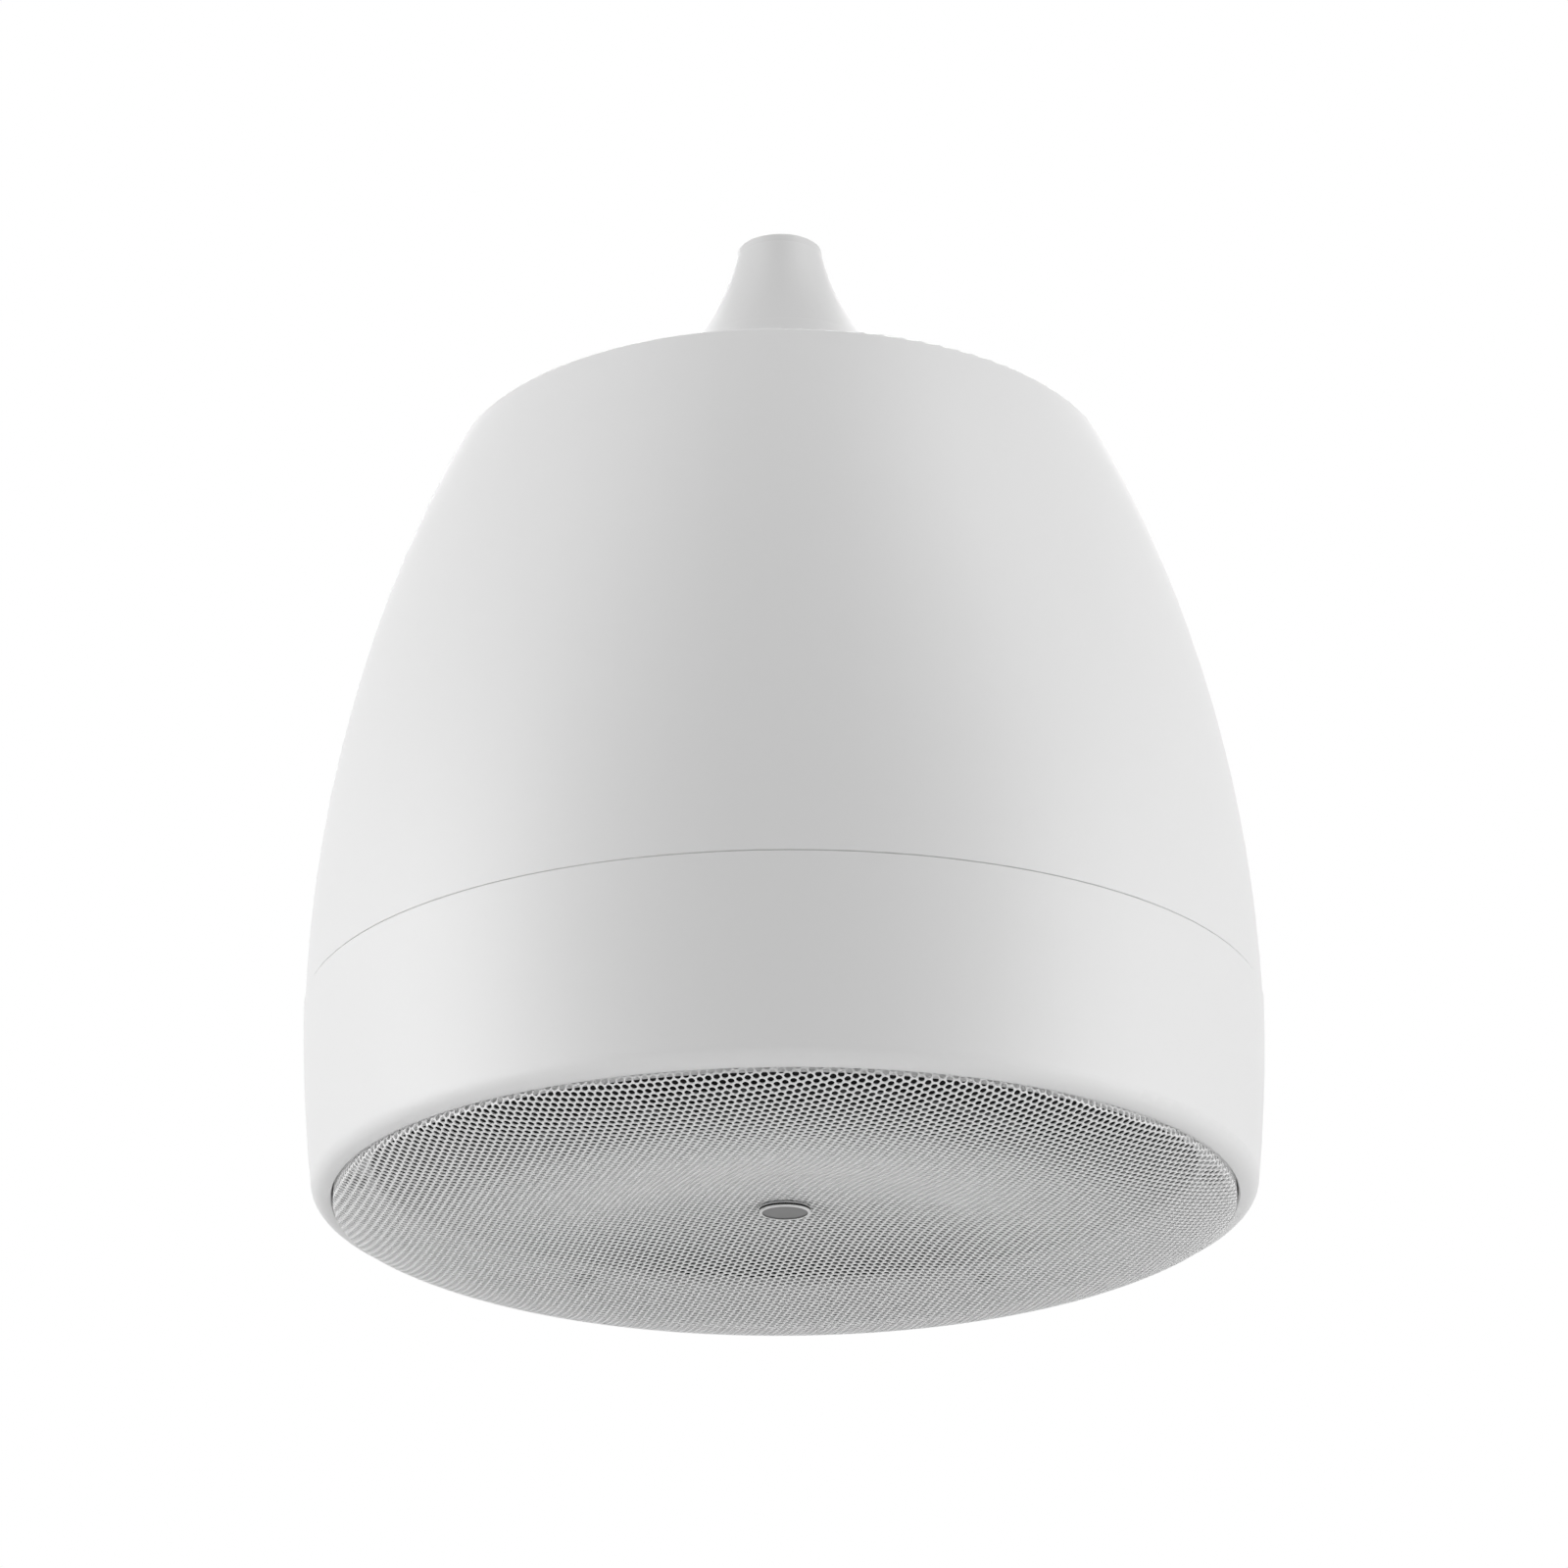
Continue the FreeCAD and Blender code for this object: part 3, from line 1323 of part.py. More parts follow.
def build_inductor():
    """A wound coil between the two cheeks of its bobbin."""
    low = "(board_low - inductor_height)"
    piece = new_body("inductor_coil", low, "0 - inductor_place", "board_offset")
    cheek = "(inductor_radius + inductor_cheek_rise)"
    turn(
        piece,
        [
            ("inductor_bore_radius", "0"),
            (cheek, "0"),
            (cheek, "inductor_cheek"),
            ("inductor_radius", "inductor_cheek"),
            ("inductor_radius", "inductor_height - inductor_cheek"),
            (cheek, "inductor_height - inductor_cheek"),
            (cheek, "inductor_height"),
            ("inductor_bore_radius", "inductor_height"),
        ],
    )
    return piece


def build_capacitors():
    """Two film capacitors that lie side by side under the board."""
    shapes = []
    for name, side in (("capacitor_left", -1), ("capacitor_right", 1)):
        can = doc.addObject("Part::Cylinder", name)
        can.setExpression("Radius", dim("capacitor_radius"))
        can.setExpression("Height", dim("capacitor_length"))
        can.Placement.Rotation = FreeCAD.Rotation(FreeCAD.Vector(1, 0, 0), -90)
        can.setExpression("Placement.Base.x", dim(f"{side} * (capacitor_radius + capacitor_gap / 2)"))
        can.setExpression("Placement.Base.y", dim("board_offset - capacitor_length / 2"))
        can.setExpression("Placement.Base.z", dim("board_low - capacitor_radius - thread_mouth"))
        shapes.append(can)
    pair = doc.addObject("Part::Compound", "capacitors")
    pair.Label = "capacitors"
    pair.Links = shapes
    doc.recompute()
    return pair


def build_resistor():
    piece = doc.addObject("Part::Box", "resistor_blank")
    piece.setExpression("Length", dim("resistor_length"))
    piece.setExpression("Width", dim("resistor_width"))
    piece.setExpression("Height", dim("resistor_width"))
    piece.setExpression("Placement.Base.x", dim("resistor_place - resistor_length / 2"))
    piece.setExpression("Placement.Base.y", dim("board_offset - resistor_width / 2"))
    piece.setExpression("Placement.Base.z", dim("board_low - resistor_width - thread_mouth"))
    doc.recompute()
    chamfered = doc.addObject("Part::Chamfer", "resistor")
    chamfered.Label = "resistor"
    chamfered.Base = piece
    cut = number("resistor_chamfer")
    chamfered.Edges = [(k, cut, cut) for k in range(1, 13)]
    doc.recompute()
    return chamfered


def build_transformer_core():
    """A stack of steel laminations with a middle leg and a window on each side of it."""
    piece = new_body("transformer_core", "plate_low - core_height", "0", "0 - transformer_offset")
    face = new_sketch(piece, "transformer_core_face", "XZ_Plane", "0 - core_stack / 2")
    outline(face, block("0", "core_height / 2", "core_width", "core_height"))
    for side in (-1, 1):
        middle = f"({side} * (core_leg + core_window) / 2)"
        outline(face, block(middle, "core_height / 2", "core_window", "core_height - 2 * core_window"))
    stack = piece.newObject("PartDesign::Pad", "transformer_core_stack")
    stack.Profile = face
    stack.setExpression("Length", dim("core_stack"))
    doc.recompute()
    return piece


def build_transformer_winding():
    """The wound bobbin round the middle leg, with its corners rounded as wire lies."""
    height = "(core_height - 2 * core_window - 2 * winding_gap)"
    low = "plate_low - core_height + core_window + winding_gap"
    piece = new_body("transformer_winding", low, "0", "0 - transformer_offset")
    outer_width = "(core_leg + 2 * core_window - 2 * winding_gap)"
    outer_depth = "(core_stack + 2 * winding_overhang)"
    outer = block("0", "0", outer_width, outer_depth)
    inner = block("0", "0", "core_leg + 2 * winding_gap", "core_stack + 2 * winding_gap")
    coil = pad(piece, "coil", "0", height, outlines=[outer, inner])
    upright = [
        f"Edge{k}"
        for k, edge in enumerate(coil.Shape.Edges, start=1)
        if abs(edge.tangentAt(edge.FirstParameter).z) > 0.9
        and abs(edge.CenterOfMass.y) > number("core_stack / 2 + winding_overhang / 2")
    ]
    rounding = piece.newObject("PartDesign::Fillet", "transformer_winding_corners")
    rounding.Base = (coil, upright)
    rounding.setExpression("Radius", dim("winding_overhang / 2"))
    doc.recompute()
    return piece


def build_transformer_strap():
    """A folded steel strap that carries the core under the hanger plate on two feet."""
    half = "(core_width / 2 + strap_gap)"
    low = "(0 - strap_gap - strap_sheet)"
    top = "core_height"
    outer = f"({half} + strap_sheet)"
    foot = f"({outer} + strap_foot)"
    piece = new_body("transformer_strap", "plate_low - core_height", "0", "0 - transformer_offset")
    face = new_sketch(piece, "transformer_strap_fold", "XZ_Plane", "0 - core_stack / 2")
    outline(
        face,
        [
            (f"0 - {outer}", low),
            (outer, low),
            (outer, f"{top} - strap_sheet"),
            (foot, f"{top} - strap_sheet"),
            (foot, top),
            (half, top),
            (half, "0 - strap_gap"),
            (f"0 - {half}", "0 - strap_gap"),
            (f"0 - {half}", top),
            (f"0 - {foot}", top),
            (f"0 - {foot}", f"{top} - strap_sheet"),
            (f"0 - {outer}", f"{top} - strap_sheet"),
        ],
    )
    fold = piece.newObject("PartDesign::Pad", "transformer_strap_sheet")
    fold.Profile = face
    fold.setExpression("Length", dim("core_stack"))
    doc.recompute()
    across = "(core_width / 2 + strap_sheet + strap_foot / 2)"
    holes = [(f"{side} * {across}", "0", "strap_screw_radius + screw_clearance") for side in (-1, 1)]
    pocket(piece, "foot_holes", "core_height", "strap_sheet", holes)
    return piece


def build_strap_screws():
    piece = new_body("strap_screws", "plate_low - strap_sheet")
    heads = strap_screw_places("strap_screw_head_radius")
    pad(piece, "heads", "0 - strap_screw_head_height", "strap_screw_head_height", heads)
    shanks = strap_screw_places("strap_screw_radius")
    pad(piece, "shanks", "0", "strap_sheet + hanger_plate_thickness", shanks)
    return piece


def build_rings():
    """The pieces that are plain flat or tubular rings."""
    gasket_outer = "(ring_top_radius - seam_reveal_depth)"
    gasket_inner = f"({gasket_outer} - seam_gasket_width)"
    grip_inner = "(grille_rim_radius - grille_gasket_width)"
    grip_thickness = "grille_gasket_thickness"
    trim_inner = "surround_outer_radius + trim_inset"
    land_outer = "(surround_outer_radius + surround_land)"
    gap_outer = "winding_outer_radius + coil_gap"
    former_low = "(flange_low + former_start)"
    winding_low = "(motor_low + top_plate_thickness / 2 - winding_length / 2)"
    stud = "(badge_stud_radius + nut_clearance)"
    trim_low = "(surround_low - trim_thickness)"
    return [
        washer("seam_gasket", "ring_height", "seam_gap", gasket_inner, gasket_outer),
        washer("grille_gasket", "grille_edge_height", grip_thickness, grip_inner, "grille_rim_radius"),
        washer("surround_trim", trim_low, "trim_thickness", trim_inner, land_outer),
        washer("voice_coil_former", former_low, "former_length", "former_radius", "former_outer_radius"),
        washer("voice_coil", winding_low, "winding_length", "former_outer_radius", "winding_outer_radius"),
        washer("top_plate", "motor_low", "top_plate_thickness", gap_outer, "top_plate_radius"),
        washer("magnet", "magnet_low", "magnet_thickness", "magnet_bore_radius", "magnet_radius"),
        washer("badge_clip", "grille_sheet", "badge_clip_thickness", stud, "badge_clip_radius"),
    ]


def build_round_fasteners():
    """The screws that stand in a circle."""
    return [
        ring_of_screws(
            "shell_screws",
            "ledge_low",
            "shell_screw_circle",
            "shell_screw_count",
            "shell_screw_head_radius",
            "shell_screw_head_height",
            "shell_screw_radius",
            "shell_screw_length",
        ),
        ring_of_screws(
            "woofer_screws",
            "flange_low",
            "woofer_screw_circle",
            "woofer_screw_count",
            "woofer_screw_head_radius",
            "woofer_screw_head_height",
            "woofer_screw_radius",
            "woofer_screw_length",
        ),
    ]


pieces = [
    build_cover(),
    build_suspension_boss(),
    build_boss_nut(),
    build_hanger_plate(),
    build_hanger_screws(),
    build_safety_eye(),
    build_eye_nut(),
    build_terminal_block(),
    build_terminal_screws(),
    build_clamp_screws(),
    build_upper_shell(),
    build_lower_ring(),
    build_lining(),
    build_crossover_board(),
    build_standoffs(),
    build_board_screws(),
    build_inductor(),
    build_capacitors(),
    build_resistor(),
    build_transformer_core(),
    build_transformer_winding(),
    build_transformer_strap(),
    build_strap_screws(),
    build_baffle(),
    build_baffle_gasket(),
    build_port_tube(),
    build_basket(),
    build_woofer_gasket(),
    build_surround(),
    build_cone(),
    build_spider(),
    build_back_plate(),
    build_post(),
    build_post_nut(),
    build_tweeter_housing(),
    build_tweeter_magnet(),
    build_dome(),
    build_faceplate(),
    build_grille(),
    build_badge(),
]
pieces += build_rings()
pieces += build_round_fasteners()

doc.recompute()
for item in doc.Objects:
    if "Invalid" in item.State or "Error" in item.State:
        raise RuntimeError(f"{item.Label} failed: {item.State}")
for piece in pieces:
    if piece.Shape.isNull() or not piece.Shape.isValid() or not piece.Shape.Solids:
        raise RuntimeError(f"{piece.Label} has no sound solid")

os.makedirs("parts", exist_ok=True)
for piece in pieces:
    piece.Shape.exportStep(f"parts/{piece.Label}.step")
print(len(pieces), "pieces written")
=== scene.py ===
"""The looks of a white pendant speaker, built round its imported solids."""

import json
import math

import bmesh
import bpy
from bpy.props import FloatProperty, FloatVectorProperty, IntProperty, PointerProperty
from mathutils import Matrix, Vector

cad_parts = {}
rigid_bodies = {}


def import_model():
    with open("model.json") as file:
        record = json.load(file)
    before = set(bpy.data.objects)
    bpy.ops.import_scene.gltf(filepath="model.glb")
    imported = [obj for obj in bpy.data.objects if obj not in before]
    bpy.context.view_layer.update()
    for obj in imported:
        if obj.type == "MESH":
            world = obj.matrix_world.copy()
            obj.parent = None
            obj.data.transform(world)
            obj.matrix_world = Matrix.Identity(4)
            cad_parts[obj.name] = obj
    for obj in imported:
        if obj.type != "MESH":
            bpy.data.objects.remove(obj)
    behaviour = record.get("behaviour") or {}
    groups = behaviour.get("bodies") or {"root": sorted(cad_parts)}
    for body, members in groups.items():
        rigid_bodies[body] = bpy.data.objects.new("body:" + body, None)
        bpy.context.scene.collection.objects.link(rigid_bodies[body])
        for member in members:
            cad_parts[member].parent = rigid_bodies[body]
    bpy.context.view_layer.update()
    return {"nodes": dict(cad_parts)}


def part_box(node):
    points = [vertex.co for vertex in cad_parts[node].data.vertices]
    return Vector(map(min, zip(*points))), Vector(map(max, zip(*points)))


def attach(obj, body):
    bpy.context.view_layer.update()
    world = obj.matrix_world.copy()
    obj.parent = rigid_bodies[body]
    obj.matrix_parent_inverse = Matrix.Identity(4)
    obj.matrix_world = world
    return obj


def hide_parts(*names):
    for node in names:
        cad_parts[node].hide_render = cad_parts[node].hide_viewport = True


bl_info = {
    "name": "Pendant Speaker",
    "version": (1, 0, 0),
    "blender": (4, 5, 0),
    "location": "View3D > Sidebar > Speaker",
    "description": "Builds the looks of a pendant speaker with a dished, finely perforated grille",
    "category": "Object",
}

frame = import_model()
NODES = frame["nodes"]

CABINET = "cabinet"
MM = 0.001
OPENING = -262.0 * MM  # Height of the ring's opening; the frame's zero is the thread's mouth
GRILLE_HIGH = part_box("grille")[1]
GRILLE_RIM = GRILLE_HIGH.x
GRILLE_EDGE_TOP = GRILLE_HIGH.z
SHEET_SECTORS = 4
CELL_GAP = 0.02 * MM  # Corners of neighbouring cells closer than this are joined
WALL_GAP = 0.01 * MM
NEAR_AXIS = 0.1 * MM
EDGE_ROUNDING = 0.3  # Share of the sheet's thickness
EDGE_STEPS = 192
BADGE_RIM = 0.9 * MM
BADGE_RIM_HEIGHT = 0.5 * MM
# Height of the band of painted shade on the badge's side wall, above its rim
BADGE_SHADE_BAND = 0.7 * MM
ZINC = (0.62, 0.62, 0.60)
BLACK_ZINC = (0.05, 0.05, 0.055)
COPPER = (0.60, 0.20, 0.07)
WHITE = (1.0, 1.0, 1.0, 1.0)
# Painted shade: the near-black of the band on the badge's side wall
PAINTED_SHADE_GREY = (0.02, 0.02, 0.02)
FLOOR_GREY = (0.85, 0.85, 0.85, 1.0)
FLOOR_RADIUS = 12.0
FLOOR_FADE = 7.0  # Radius from which the floor looks plain white
FLOOR_GLOW = 0.65  # Share of plain white in the floor's middle
SENSOR = 36.0
CAMERA_SHIFT = 0.0008
CAMERA_CLIP = (0.01, 100.0)
LAMP_DISTANCE = 1.8
LAMP_AIM = -0.12
# Name, bearing and elevation in degrees, width and height in metres, and watts of each soft box
LAMPS = (
    ("left_side", -88.0, 0.0, 0.6, 1.6, 10.2),
    ("left_quarter", -68.0, 0.0, 0.6, 1.6, 15.6),
    ("right_side", 88.0, 0.0, 0.6, 1.6, 5.1),
    ("right_quarter", 68.0, 0.0, 0.6, 1.6, 11.4),
    ("low_front", 0.0, -38.0, 1.0, 1.0, 7.0),
    ("low_right", 80.0, -38.0, 1.0, 1.0, 5.4),
    ("high_left", -55.0, 50.0, 1.0, 1.0, 5.4),
    ("high_right", 55.0, 50.0, 1.0, 1.0, 11.8),
    ("top", 0.0, 88.0, 1.6, 1.6, 2.2),
    ("low_rear", 180.0, -35.0, 1.6, 1.2, 2.4),
    ("rear", 180.0, 42.0, 1.2, 0.8, 12.0),
)


# Sizes and colours that a user would change


class GrilleSizes(bpy.types.PropertyGroup):
    pitch: FloatProperty(
        name="Hole pitch",
        description="Distance between neighbouring holes of the perforated sheet",
        default=2.45 * MM,
        min=1.0 * MM,
        unit="LENGTH",
    )
    hole_radius: FloatProperty(
        name="Hole radius",
        description="Radius of one punched hole",
        default=1.0 * MM,
        min=0.1 * MM,
        unit="LENGTH",
    )
    hole_corners: IntProperty(
        name="Hole corners",
        description="Corners of one hole, two for each side of its cell",
        default=12,
        min=6,
    )
    angle: FloatProperty(
        name="Row angle",
        description="How far the rows of holes are turned from the X axis",
        default=math.radians(44.5),
        unit="ROTATION",
    )
    sheet: FloatProperty(
        name="Sheet",
        description="Thickness of the steel sheet",
        default=0.4 * MM,
        unit="LENGTH",
    )
    crest_radius: FloatProperty(
        name="Crest radius",
        description="Radius of the circle where the grille reaches lowest",
        default=105.1 * MM,
        unit="LENGTH",
    )
    crest_depth: FloatProperty(
        name="Crest depth",
        description="How far the crest hangs below the middle of the grille",
        default=10.7 * MM,
        unit="LENGTH",
    )
    turn_radius: FloatProperty(
        name="Turn radius",
        description="Radius where the hollow's curve turns over towards the crest",
        default=56.0 * MM,
        unit="LENGTH",
    )
    skirt_radius: FloatProperty(
        name="Skirt radius",
        description="Bending radius of the skirt outside the crest",
        default=73.8 * MM,
        unit="LENGTH",
    )
    bend_radius: FloatProperty(
        name="Edge bend",
        description="Radius of the bend that turns the edge upwards",
        default=1.5 * MM,
        unit="LENGTH",
    )
    punched_edge: FloatProperty(
        name="Punched edge",
        description="How far the holes run up the turned edge",
        default=1.45 * MM,
        unit="LENGTH",
    )


class FinishColours(bpy.types.PropertyGroup):
    shell: FloatVectorProperty(
        name="Shell",
        description="Colour of the moulded shell and the lower ring",
        default=(0.80, 0.80, 0.80),
        subtype="COLOR",
        min=0.0,
        max=1.0,
    )
    # Painted shade: the cover is the shell's white plastic, set darker to stand for the shade on
    # its neck
    cover: FloatVectorProperty(
        name="Cover",
        description="Colour of the flared cover",
        default=(0.73, 0.73, 0.73),
        subtype="COLOR",
        min=0.0,
        max=1.0,
    )
    grille: FloatVectorProperty(
        name="Grille",
        description="Colour of the powder coat on the grille",
        default=(0.85, 0.85, 0.85),
        subtype="COLOR",
        min=0.0,
        max=1.0,
    )
    badge: FloatVectorProperty(
        name="Badge",
        description="Colour of the badge's face",
        default=(0.145, 0.145, 0.145),
        subtype="COLOR",
        min=0.0,
        max=1.0,
    )
    badge_rim: FloatVectorProperty(
        name="Badge rim",
        description="Colour of the badge's raised rim",
        default=(0.75, 0.75, 0.75),
        subtype="COLOR",
        min=0.0,
        max=1.0,
    )
    seam: FloatVectorProperty(
        name="Seam",
        description="Colour of the rubber that fills the seam between the shell and the lower ring",
        default=(0.60, 0.60, 0.60),
        subtype="COLOR",
        min=0.0,
        max=1.0,
    )
    interior: FloatVectorProperty(
        name="Interior",
        description="Colour of the baffle and the other dark parts behind the grille",
        default=(0.012, 0.012, 0.0125),
        subtype="COLOR",
        min=0.0,
        max=1.0,
    )


class StudioSizes(bpy.types.PropertyGroup):
    camera_distance: FloatProperty(
        name="Camera distance",
        description="How far the camera stands from the speaker's axis",
        default=1.4259,
        unit="LENGTH",
    )
    camera_drop: FloatProperty(
        name="Camera drop",
        description="How far the camera is below the grille opening",
        default=0.4183,
        unit="LENGTH",
    )
    camera_pitch: FloatProperty(
        name="Camera pitch",
        description="How far the camera looks up",
        default=math.radians(21.40),
        unit="ROTATION",
    )
    camera_roll: FloatProperty(
        name="Camera roll",
        description="How far the camera leans about its own line of sight",
        default=math.radians(-0.306),
        unit="ROTATION",
    )
    camera_lens: FloatProperty(
        name="Lens",
        description="Focal length on a sensor 36 mm wide",
        default=109.8,
        unit="CAMERA",
    )
    floor_drop: FloatProperty(
        name="Floor drop",
        description="How far the floor is below the suspension point",
        default=1.9,
        unit="LENGTH",
    )


# Shader and geometry sums written as expressions


class Value:
    """One output socket, which can be used in sums."""

    def __init__(self, tree, socket):
        self.tree = tree
        self.socket = socket

    def sum(self, operation, *others):
        return add(self.tree, "ShaderNodeMath", {"operation": operation}, (self, *others))

    def __add__(self, other):
        return self.sum("ADD", other)

    def __sub__(self, other):
        return self.sum("SUBTRACT", other)

    def __mul__(self, other):
        return self.sum("MULTIPLY", other)

    def __truediv__(self, other):
        return self.sum("DIVIDE", other)

    def __radd__(self, other):
        return self + other

    def __rmul__(self, other):
        return self * other

    def __rsub__(self, other):
        return add(self.tree, "ShaderNodeMath", {"operation": "SUBTRACT"}, (other, self))

    def root(self):
        return self.sum("SQRT")

    def above(self, limit):
        return self.sum("GREATER_THAN", limit)

    def least(self, other):
        return self.sum("MINIMUM", other)

    def most(self, other):
        return self.sum("MAXIMUM", other)


def add(tree, kind, settings=None, values=(), output=0):
    """Add a node: its settings, then its sockets' values or links. Returns one output."""
    node = tree.nodes.new(kind)
    for name, setting in (settings or {}).items():
        if name == "stops":
            ramp = node.color_ramp
            while len(ramp.elements) < len(setting):
                ramp.elements.new(1.0)
            for stop, (position, shade) in zip(ramp.elements, setting):
                stop.position = position
                stop.color = (shade, shade, shade, 1.0)
        else:
            setattr(node, name, setting)
    pairs = values.items() if isinstance(values, dict) else enumerate(values)
    for place, value in pairs:
        if isinstance(value, Value):
            tree.links.new(value.socket, node.inputs[place])
        elif value is not None:
            node.inputs[place].default_value = value
    if output is None:
        return node
    return Value(tree, node.outputs[output])


def split(tree, vector):
    """The three parts of a vector."""
    parts = add(tree, "ShaderNodeSeparateXYZ", values=(vector,), output=None)
    return [Value(tree, socket) for socket in parts.outputs]


def from_axis(x, y):
    """Distance from the upright axis."""
    return (x * x + y * y).root()


def blank(block):
    """The empty node tree of a new material or world."""
    block.use_nodes = True
    block.node_tree.nodes.clear()
    return block.node_tree


# Finishes


def new_finish(name, colour, roughness, metallic=0.0, coat=0.0, gloss=0.5):
    """A material with one Principled shader. Returns the material, its tree and the shader."""
    material = bpy.data.materials.new(name)
    tree = blank(material)
    shader = tree.nodes.new("ShaderNodeBsdfPrincipled")
    shader.inputs["Base Color"].default_value = (*colour, 1.0)
    shader.inputs["Roughness"].default_value = roughness
    shader.inputs["Metallic"].default_value = metallic
    shader.inputs["Coat Weight"].default_value = coat
    shader.inputs["Specular IOR Level"].default_value = gloss
    end = tree.nodes.new("ShaderNodeOutputMaterial")
    tree.links.new(shader.outputs[0], end.inputs["Surface"])
    return material, tree, shader


def place(tree):
    return add(tree, "ShaderNodeTexCoord", output="Object")


def noise(tree, where, scale, detail=3.0, rough=0.5):
    return add(
        tree,
        "ShaderNodeTexNoise",
        values={"Vector": where, "Scale": scale, "Detail": detail, "Roughness": rough},
        output="Fac",
    )


def vary(tree, shader, name, level, change, pattern):
    """Let a value of the shader swing about its level with a pattern that runs from 0 to 1."""
    swing = (pattern - 0.5) * change + level
    tree.links.new(swing.socket, shader.inputs[name])


def mix(tree, factor, first, second):
    """A colour that runs from the first to the second with a factor."""
    sides = [c if isinstance(c, Value) else (*c, 1.0) for c in (first, second)]
    values = {"Factor": factor, "A": sides[0], "B": sides[1]}
    return add(tree, "ShaderNodeMix", {"data_type": "RGBA"}, values, output="Result")


def shade(tree, shader, colour, depth, pattern):
    """Mix the colour with a darker one of the same hue where the pattern is high."""
    dark = tuple(c * (1.0 - depth) for c in colour)
    mixed = mix(tree, pattern, colour, dark)
    tree.links.new(mixed.socket, shader.inputs["Base Color"])


def bump(tree, shader, height, distance):
    normal = add(
        tree,
        "ShaderNodeBump",
        values={"Height": height, "Distance": distance},
        output="Normal",
    )
    tree.links.new(normal.socket, shader.inputs["Normal"])


def grained_finish(name, colour, roughness, grain=1800.0, depth=0.012 * MM, gloss=0.5):
    """Moulded plastic or powder coat: a fine grain, and a faint cloudiness in gloss and colour."""
    material, tree, shader = new_finish(name, colour, roughness, gloss=gloss)
    where = place(tree)
    fine = noise(tree, where, grain, 2.0, 0.6)
    cloud = noise(tree, where, 9.0, 3.0)
    shade(tree, shader, colour, 0.02, cloud)
    vary(tree, shader, "Roughness", roughness, 0.08, cloud)
    bump(tree, shader, fine, depth)
    return material


def wrapped_finish(name, colour, roughness, layers=5200.0):
    """Sheet rolled into a tube: fine layers about the upright axis, and a cloudy face."""
    material, tree, shader = new_finish(name, colour, roughness)
    where = place(tree)
    x, y, _ = split(tree, where)
    ring = (from_axis(x, y) * layers).sum("SINE") * 0.5 + 0.5
    cloud = noise(tree, where, 40.0)
    shade(tree, shader, colour, 0.12, cloud)
    vary(tree, shader, "Roughness", roughness, 0.15, cloud)
    bump(tree, shader, ring, 0.004 * MM)
    return material


def badge_finish(name, face, rim, rim_start, rim_top, shade_band, roughness=0.4):
    """A painted disc with a paler turned rim, and a dark band of painted shade on its side wall
    above the rim, standing for the shadow between the badge and the grille.
    """
    material, tree, shader = new_finish(name, face, roughness, gloss=0.2)
    where = place(tree)
    x, y, z = split(tree, where)
    # Painted shade: a dark band on the side wall just above the rim stands for the shadow under the
    # badge
    painted_shade_band = z.above(rim_top) - z.above(rim_top + shade_band)
    painted = mix(tree, from_axis(x, y).above(rim_start), face, rim)
    with_painted_shade = mix(tree, painted_shade_band, painted, PAINTED_SHADE_GREY)
    tree.links.new(with_painted_shade.socket, shader.inputs["Base Color"])
    vary(tree, shader, "Roughness", roughness, 0.1, noise(tree, where, 200.0))
    bump(tree, shader, noise(tree, where, 1500.0, 2.0), 0.006 * MM)
    return material


def plated_finish(name, colour, roughness=0.38):
    """Zinc plate: bright, with a fine crystal pattern."""
    material, tree, shader = new_finish(name, colour, roughness, metallic=1.0)
    where = place(tree)
    crystals = add(
        tree, "ShaderNodeTexVoronoi", values={"Vector": where, "Scale": 420.0}, output="Distance"
    )
    cloud = noise(tree, where, 60.0)
    shade(tree, shader, colour, 0.18, cloud)
    vary(tree, shader, "Roughness", roughness, 0.2, crystals)
    bump(tree, shader, crystals, 0.006 * MM)
    return material


def woven_finish(name, colour, pitch, roughness=0.9):
    """Cloth: two crossed sets of threads about the upright axis."""
    material, tree, shader = new_finish(name, colour, roughness)
    x, y, _ = split(tree, place(tree))
    turns = 2.0 * math.pi / pitch
    weave = (x * turns).sum("SINE") * (y * turns).sum("SINE") * 0.5 + 0.5
    shade(tree, shader, colour, 0.35, weave)
    vary(tree, shader, "Roughness", roughness, 0.1, weave)
    bump(tree, shader, weave, pitch * 0.2)
    return material


def fibre_finish(name, colour, scale, depth, roughness=0.95):
    """Felt, foam or pulp: a matt mass of small random fibres or cells."""
    material, tree, shader = new_finish(name, colour, roughness)
    where = place(tree)
    fibres = noise(tree, where, scale, 6.0, 0.7)
    shade(tree, shader, colour, 0.4, fibres)
    vary(tree, shader, "Roughness", roughness, 0.1, fibres)
    bump(tree, shader, fibres, depth)
    return material


def wound_finish(name, colour, pitch, roughness=0.3):
    """Enamelled wire in level turns, one above the other, with painted shade in the creases between
    the turns.
    """
    material, tree, shader = new_finish(name, colour, roughness, metallic=0.85, coat=0.4)
    z = split(tree, place(tree))[2]
    turns = (z * (math.pi / pitch)).sum("SINE").sum("ABSOLUTE")
    # Painted shade: the colour darkens in the creases between the turns
    shade(tree, shader, colour, 0.5, 1.0 - turns)
    vary(tree, shader, "Roughness", roughness, 0.2, turns)
    bump(tree, shader, turns, pitch * 0.35)
    return material


def layered_finish(name, colour, sheet, roughness=0.5):
    """Stacked steel sheets with varnish between them."""
    material, tree, shader = new_finish(name, colour, roughness, metallic=0.6)
    where = place(tree)
    lines = (split(tree, where)[1] * (math.pi / sheet)).sum("SINE").sum("ABSOLUTE")
    shade(tree, shader, colour, 0.6, 1.0 - lines)
    vary(tree, shader, "Roughness", roughness, 0.3, noise(tree, where, 120.0))
    bump(tree, shader, lines, 0.05 * MM)
    return material


def wear(node, material):
    """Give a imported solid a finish."""
    slots = NODES[node].data.materials
    slots.clear()
    slots.append(material)


# Mesh helpers


